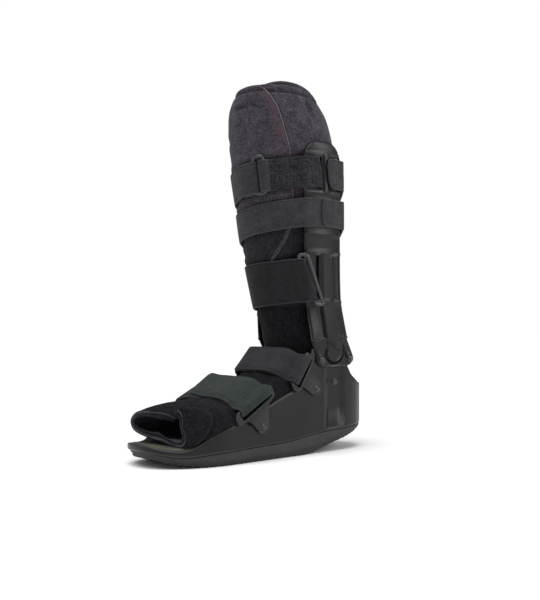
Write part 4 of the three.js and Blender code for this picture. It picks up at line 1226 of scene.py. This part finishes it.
def outer_flap():
    """The front flap: a foam cloth sheet with bound edges lying over the main liner, its top a round lobe."""
    across, up = 96, 96
    section = across * 2

    def spot(u, t, offset):
        angle = math.radians(60)
        z = 0.0
        for _ in range(4):
            top = lobe_top(angle) - 0.6
            z = 196 + (top - 196) * t
            start = curve_at(FLAP_EDGE, z)
            angle = math.radians(start + (FLAP_FAR - start) * u)
        return leg_point(z, angle, offset), angle, z, top - z

    def place(i, j):
        t = 1 - (1 - j / (up - 1)) ** 1.2
        front = i < across
        k = i if front else section - 1 - i
        u = k / (across - 1)
        u = u * u * 0.35 + u * 0.65
        end = min(u * 2.2 * 60, j * 0.8 + 0.2, (up - 1 - j) * 1.4 + 0.2)
        roll = 1.3 * ease(end, 1.6, 0)
        _, angle, z, seam = spot(u, t, 0)
        if front:
            hem = -1.1 * bump_at(u * 150, 8.5, 3.0) * ease(z, 262, 245)
            return spot(u, t, 0.5 + cloth_swell(angle, z) + top_seam(seam, 2.9, 1.1) + hem - roll)[0]
        return spot(u, t, -FLAP_THICKNESS + 0.2 + roll * 0.6)[0]

    bm = bmesh.new()
    marks = bm.verts.layers.float.new("edge_sheen")
    for v, (i, j) in lattice(bm, section, up, place, round_columns=True).items():
        k = i if i < across else section - 1 - i
        # Painted sheen: marks the cloth along the flap's front edge, high on the leg.
        v[marks] = ease(k, 16, 3) * ease(v.co.z, 270, 300)
    close_up(bm, 0.01)
    # The flap below the mid strap takes the darker cloth copy: painted shade.
    return finish_piece("liner_flap_padded", bm, [LEG_CLOTH, SHADED_CLOTH], ["liner_flap"],
                        lambda mesh, face: int(below_mid_strap(face)))


BINDING = napped_cloth("knit binding tape", "#5c585f", "#85818a", "#6a5560", 2.0, 0.05)
TAPE = napped_cloth("woven binding tape", "#2e2c32", "#4a484f", "#423b44", 2.0, 0.05)
FOOT_TAPE = napped_cloth("folded cloth edge", "#141419", "#2a2a31", "#1a1920", 1.8, 0.05)


def smooth_path(points, step):
    """Even points on a smooth curve through the given ones."""
    out = []
    last = len(points) - 1
    for k in range(last):
        p0, p1, p2, p3 = (points[min(max(i, 0), last)] for i in (k - 1, k, k + 1, k + 2))
        n = max(1, math.ceil((p2 - p1).length / step))
        for i in range(n):
            t = i / n
            out.append(0.5 * (2 * p1 + (p2 - p0) * t + (2 * p0 - 5 * p1 + 4 * p2 - p3) * t**2
                              + (3 * p1 - p0 - 3 * p2 + p3) * t**3))
    return out + [points[-1]]


def piping(name, points, radius, flat, outward, material):
    """A thin bound edge along a path: an oval tube, closed at its ends."""
    count = len(points)

    def place(i, j):
        turn = math.tau * i / 8
        along = (points[min(count - 1, j + 1)] - points[max(0, j - 1)]).normalized()
        out = outward(points[j])
        side = along.cross(out).normalized()
        share = 0.4 if j in (0, count - 1) else 1
        return points[j] + (side * math.cos(turn) * flat + out * math.sin(turn)) * radius * share

    bm = closed_sheet(8, count, place, 0.003, round_columns=True)
    return finish_piece(name, bm, material)


def away_from_leg(p):
    return Vector((p.x, p.y - leg_middle(p.z), 0)).normalized()


main_liner()
outer_flap()
edge_line = []
for z in range(200, 410, 3):
    start = math.radians(curve_at(FLAP_EDGE, z))
    swell = cloth_swell(start + math.radians(1), z)
    edge_line.append(leg_point(z, start + math.radians(0.2), 0.2 + swell))
split = next(k for k, p in enumerate(edge_line) if p.z > 258)
piping("liner_flap_binding_edge", smooth_path(edge_line[split - 1:], 2.5), 0.5, 1.0, away_from_leg, BINDING)
piping("liner_flap_binding_low", smooth_path(edge_line[:split], 2.5), 0.8, 3.4, away_from_leg, TAPE)


# Sections of the foot liner: the cloth starts under its own flap at the top, goes over the far side,
# under the foot, up the near side and back over the top to the flap's free edge. Points are (x, y, z).
FOOT_SECTIONS = [
    [(14, -108, 47), (2, -117, 51), (-14, -125, 52), (-28, -130, 49.5), (-35, -131.5, 43.5), (-31, -129, 36.5),
     (-14, -124.5, 31.5), (6, -121, 29), (24, -119, 25.5), (40, -118, 25.5), (46.5, -114.5, 31), (46.5, -112, 41),
     (42, -113, 50), (30, -119, 58.5)],
    [(16, -100, 50), (2, -106, 55), (-16, -112, 57), (-33, -115, 51), (-41, -115, 41), (-39, -113, 31),
     (-20, -110, 27), (4, -108, 26), (26, -106, 24.5), (43, -105, 25.5), (49, -103, 33), (49.5, -102, 44),
     (44, -103, 53), (26, -107, 59)],
    [(18, -84, 54), (2, -88, 58), (-18, -92, 58.5), (-36, -94, 51), (-44, -94, 42), (-42, -93, 31),
     (-22, -91, 25.5), (4, -90, 25), (28, -89, 24), (44.5, -88, 26), (50, -86, 35), (50, -86, 46),
     (42, -87, 56), (20, -91, 62)],
    [(20, -66, 56), (2, -68, 60.5), (-18, -70, 61), (-37, -71, 51), (-46, -71, 43), (-44, -70, 31),
     (-22, -69, 25.5), (4, -68, 25), (28, -68, 24.5), (44, -67, 26.5), (50, -66, 36), (49.5, -66, 48),
     (40, -67, 57.5), (12, -70, 64)],
    [(20, -44, 59), (2, -45, 63), (-18, -46, 62), (-37, -46, 55), (-46, -46, 45), (-44, -46, 32),
     (-22, -45, 26.5), (4, -45, 26), (28, -45, 26), (43.5, -44, 28), (49, -43, 38), (48, -43, 50),
     (38, -44, 62), (4, -46, 69)],
    [(20, -22, 68), (2, -22, 72), (-18, -22, 72), (-36, -22, 63), (-44.5, -22, 50), (-43, -22, 34),
     (-22, -22, 29), (4, -22, 28), (28, -22, 28.5), (42, -21, 31), (47.5, -20, 42), (46.5, -20, 56),
     (37, -21, 69), (4, -22, 77)],
    [(18, 0, 80), (2, 0, 84), (-18, 0, 83), (-34, 0, 73), (-42.5, 0, 58), (-41.5, 0, 38), (-22, 0, 32),
     (4, 0, 31), (28, 0, 31.5), (40.5, 0, 34), (45.5, 0, 48), (44, 0, 64), (34, 0, 80), (4, 0, 88)],
    [(16, 18, 100), (2, 18, 104), (-16, 18, 102), (-30, 18, 92), (-39, 18, 76), (-39.5, 18, 48), (-22, 18, 36),
     (4, 18, 34), (28, 18, 35), (39, 18, 40), (42.5, 18, 58), (40, 18, 82), (30, 18, 100), (4, 18, 108)],
    [(14, 40, 118), (2, 38, 122), (-14, 38, 120), (-26, 38, 108), (-35, 38, 88), (-36, 38, 56), (-20, 38, 42),
     (4, 38, 40), (24, 38, 41), (35, 38, 46), (38, 38, 66), (35, 38, 92), (25, 38, 114), (4, 38, 124)],
]


def foot_liner():
    """The foot part: one wrapped sheet of foam cloth, open at the toes, its near flap folded out at the front."""
    lines = [smooth_path([Vector(p) for p in ring], 3.0) for ring in FOOT_SECTIONS]
    across = 84

    def resampled(line, count):
        lengths = [0.0]
        for a, b in zip(line, line[1:]):
            lengths.append(lengths[-1] + (b - a).length)
        out, k = [], 0
        for i in range(count):
            at = lengths[-1] * i / (count - 1)
            while k < len(line) - 2 and lengths[k + 1] < at:
                k += 1
            share = (at - lengths[k]) / max(1e-6, lengths[k + 1] - lengths[k])
            out.append(line[k].lerp(line[k + 1], min(1, max(0, share))))
        return out

    grid = [resampled(line, across) for line in lines]
    columns = [smooth_path([row[i] for row in grid], 2.6) for i in range(across)]
    rows = 62
    columns = [resampled(column, rows) for column in columns]

    def place(i, j):
        p = columns[i][j].copy()
        u = i / (across - 1)
        hidden = ease(p.z, 34, 44)
        wrinkle = noise.noise(Vector((p.x / 16, p.y / 12, p.z / 16 + 7)))
        folds = 1.0 * wrinkle + 0.5 * noise.noise(Vector((p.x / 7, p.y / 6, p.z / 7)))
        middle = Vector((0, p.y, 40))
        out = (p - middle).normalized()
        fold = 0.0
        if 0.7 < u:
            crease = 1.5 + 5.5 * bump_at(u, 0.87, 0.3)
            fold += 2.6 * max(0, 1 - abs(j - crease) / 2.2) * ease(u, 0.72, 0.8)
            fold -= 3.4 * max(0, 1 - abs(j - crease - 3.2) / 2.6) * ease(u, 0.72, 0.8)
            p.x -= 12 * ease(j, 6.5, 0.5) * bump_at(u, 0.87, 0.26)
            p.y -= 2 * ease(j, 6.5, 2) * bump_at(u, 0.87, 0.2)
        return p + out * (hidden * folds + fold)

    def into_wall(p):
        return (Vector((0, p.y, 40)) - p).normalized()

    rim = [place(i, 0) for i in range(across)]
    piping("liner_foot_binding", smooth_path([p + into_wall(p) * 2.0 + Vector((0, 0.6, 0)) for p in rim], 1.6),
           2.5, 0.55, into_wall, FOOT_TAPE)
    bm = bmesh.new()
    lattice(bm, across, rows, place)
    average = sum((f.normal.dot(f.calc_center_median() - Vector((0, f.calc_center_median().y, 42)))
                   for f in bm.faces))
    if average < 0:
        bmesh.ops.reverse_faces(bm, faces=bm.faces)
    made = finish_piece("liner_foot_padded", bm, [LINING, FOOT_CLOTH_AND_SHADE])
    wall = made.modifiers.new("wall", "SOLIDIFY")
    wall.thickness = 4.2 * MM
    wall.offset = -1
    wall.use_even_offset = False
    wall.material_offset = 1
    rounding = made.modifiers.new("rounding", "SUBSURF")
    rounding.levels = rounding.render_levels = 1
    return made


foot_liner()


# Floor, light and camera

def lamp(name, kind, energy, facing, place=(0, 0, 0), tone=(1, 1, 1)):
    """A lamp turned to face along a direction."""
    data = bpy.data.lights.new(name, kind)
    data.energy = energy
    data.color = tone
    held = bpy.data.objects.new(name, data)
    held.location = place
    held.rotation_euler = Vector(facing).to_track_quat("-Z", "Y").to_euler()
    bpy.context.scene.collection.objects.link(held)
    return data


def box_light(name, place, target, size, power, tone):
    """A softbox: a rectangular area lamp turned towards its target."""
    data = lamp(name, "AREA", power, Vector(target) - Vector(place), place, tone)
    data.shape = "RECTANGLE"
    data.size, data.size_y = size


FILL_LIGHT = 0.3
KEY_LIGHT = 2.8


def studio():
    bm = bmesh.new()
    bmesh.ops.create_circle(bm, cap_ends=True, segments=96, radius=6)
    mesh = bpy.data.meshes.new("studio_floor")
    bm.to_mesh(mesh)
    bm.free()
    floor = bpy.data.objects.new("studio_floor", mesh)
    bpy.context.scene.collection.objects.link(floor)
    mesh.materials.append(pale_floor())
    world = bpy.data.worlds.new("studio")
    world.use_nodes = True
    tree = world.node_tree
    tree.nodes.clear()
    seen = node(tree, "ShaderNodeBackground", {"Color": linear("#ffffff"), "Strength": 1.0})
    fill = node(tree, "ShaderNodeBackground", {"Color": linear("#ffffff"), "Strength": FILL_LIGHT})
    ray = node(tree, "ShaderNodeLightPath").outputs["Is Camera Ray"]
    both = node(tree, "ShaderNodeMixShader", feeds={0: ray, 1: fill.outputs[0], 2: seen.outputs[0]})
    node(tree, "ShaderNodeOutputWorld", Surface=both.outputs[0])
    bpy.context.scene.world = world
    key = lamp("key_sky_panel", "SUN", KEY_LIGHT, (-0.12, 0.3, -1))
    key.angle = math.radians(48)
    middle = (0, 0.03, 0.2)
    box_light("rim_softbox", (1.4, 1.1, 0.9), middle, (0.5, 1.4), 16, (0.98, 0.99, 1))
    box_light("side_softbox", (-0.9, -1.5, 0.9), middle, (0.6, 1.4), 4, (1, 0.99, 0.97))


# The eye stands level with the lower strap, turned 50 degrees from the toes towards the near side
EYE_HEIGHT = 0.156
EYE_DISTANCE = 1.116
EYE_TURN = math.radians(50)
FOCAL_SHARE = 950 / 600
SENSOR = 36.0
AXIS_SHIFT = (270 - 304.4) / 600
HORIZON_SHIFT = (315 - 300) / 600


def camera():
    data = bpy.data.cameras.new("eye")
    data.sensor_fit = "AUTO"
    data.sensor_width = SENSOR
    data.lens = SENSOR * FOCAL_SHARE
    data.shift_x = AXIS_SHIFT
    data.shift_y = HORIZON_SHIFT
    eye = bpy.data.objects.new("eye", data)
    bpy.context.scene.collection.objects.link(eye)
    back = Vector((math.sin(EYE_TURN), -math.cos(EYE_TURN), 0))
    eye.location = Vector((0, ANKLE_Y * MM, EYE_HEIGHT)) + back * EYE_DISTANCE
    eye.rotation_euler = (-back).to_track_quat("-Z", "Y").to_euler()
    bpy.context.scene.camera = eye


studio()
camera()
bpy.context.scene.view_settings.view_transform = "Standard"
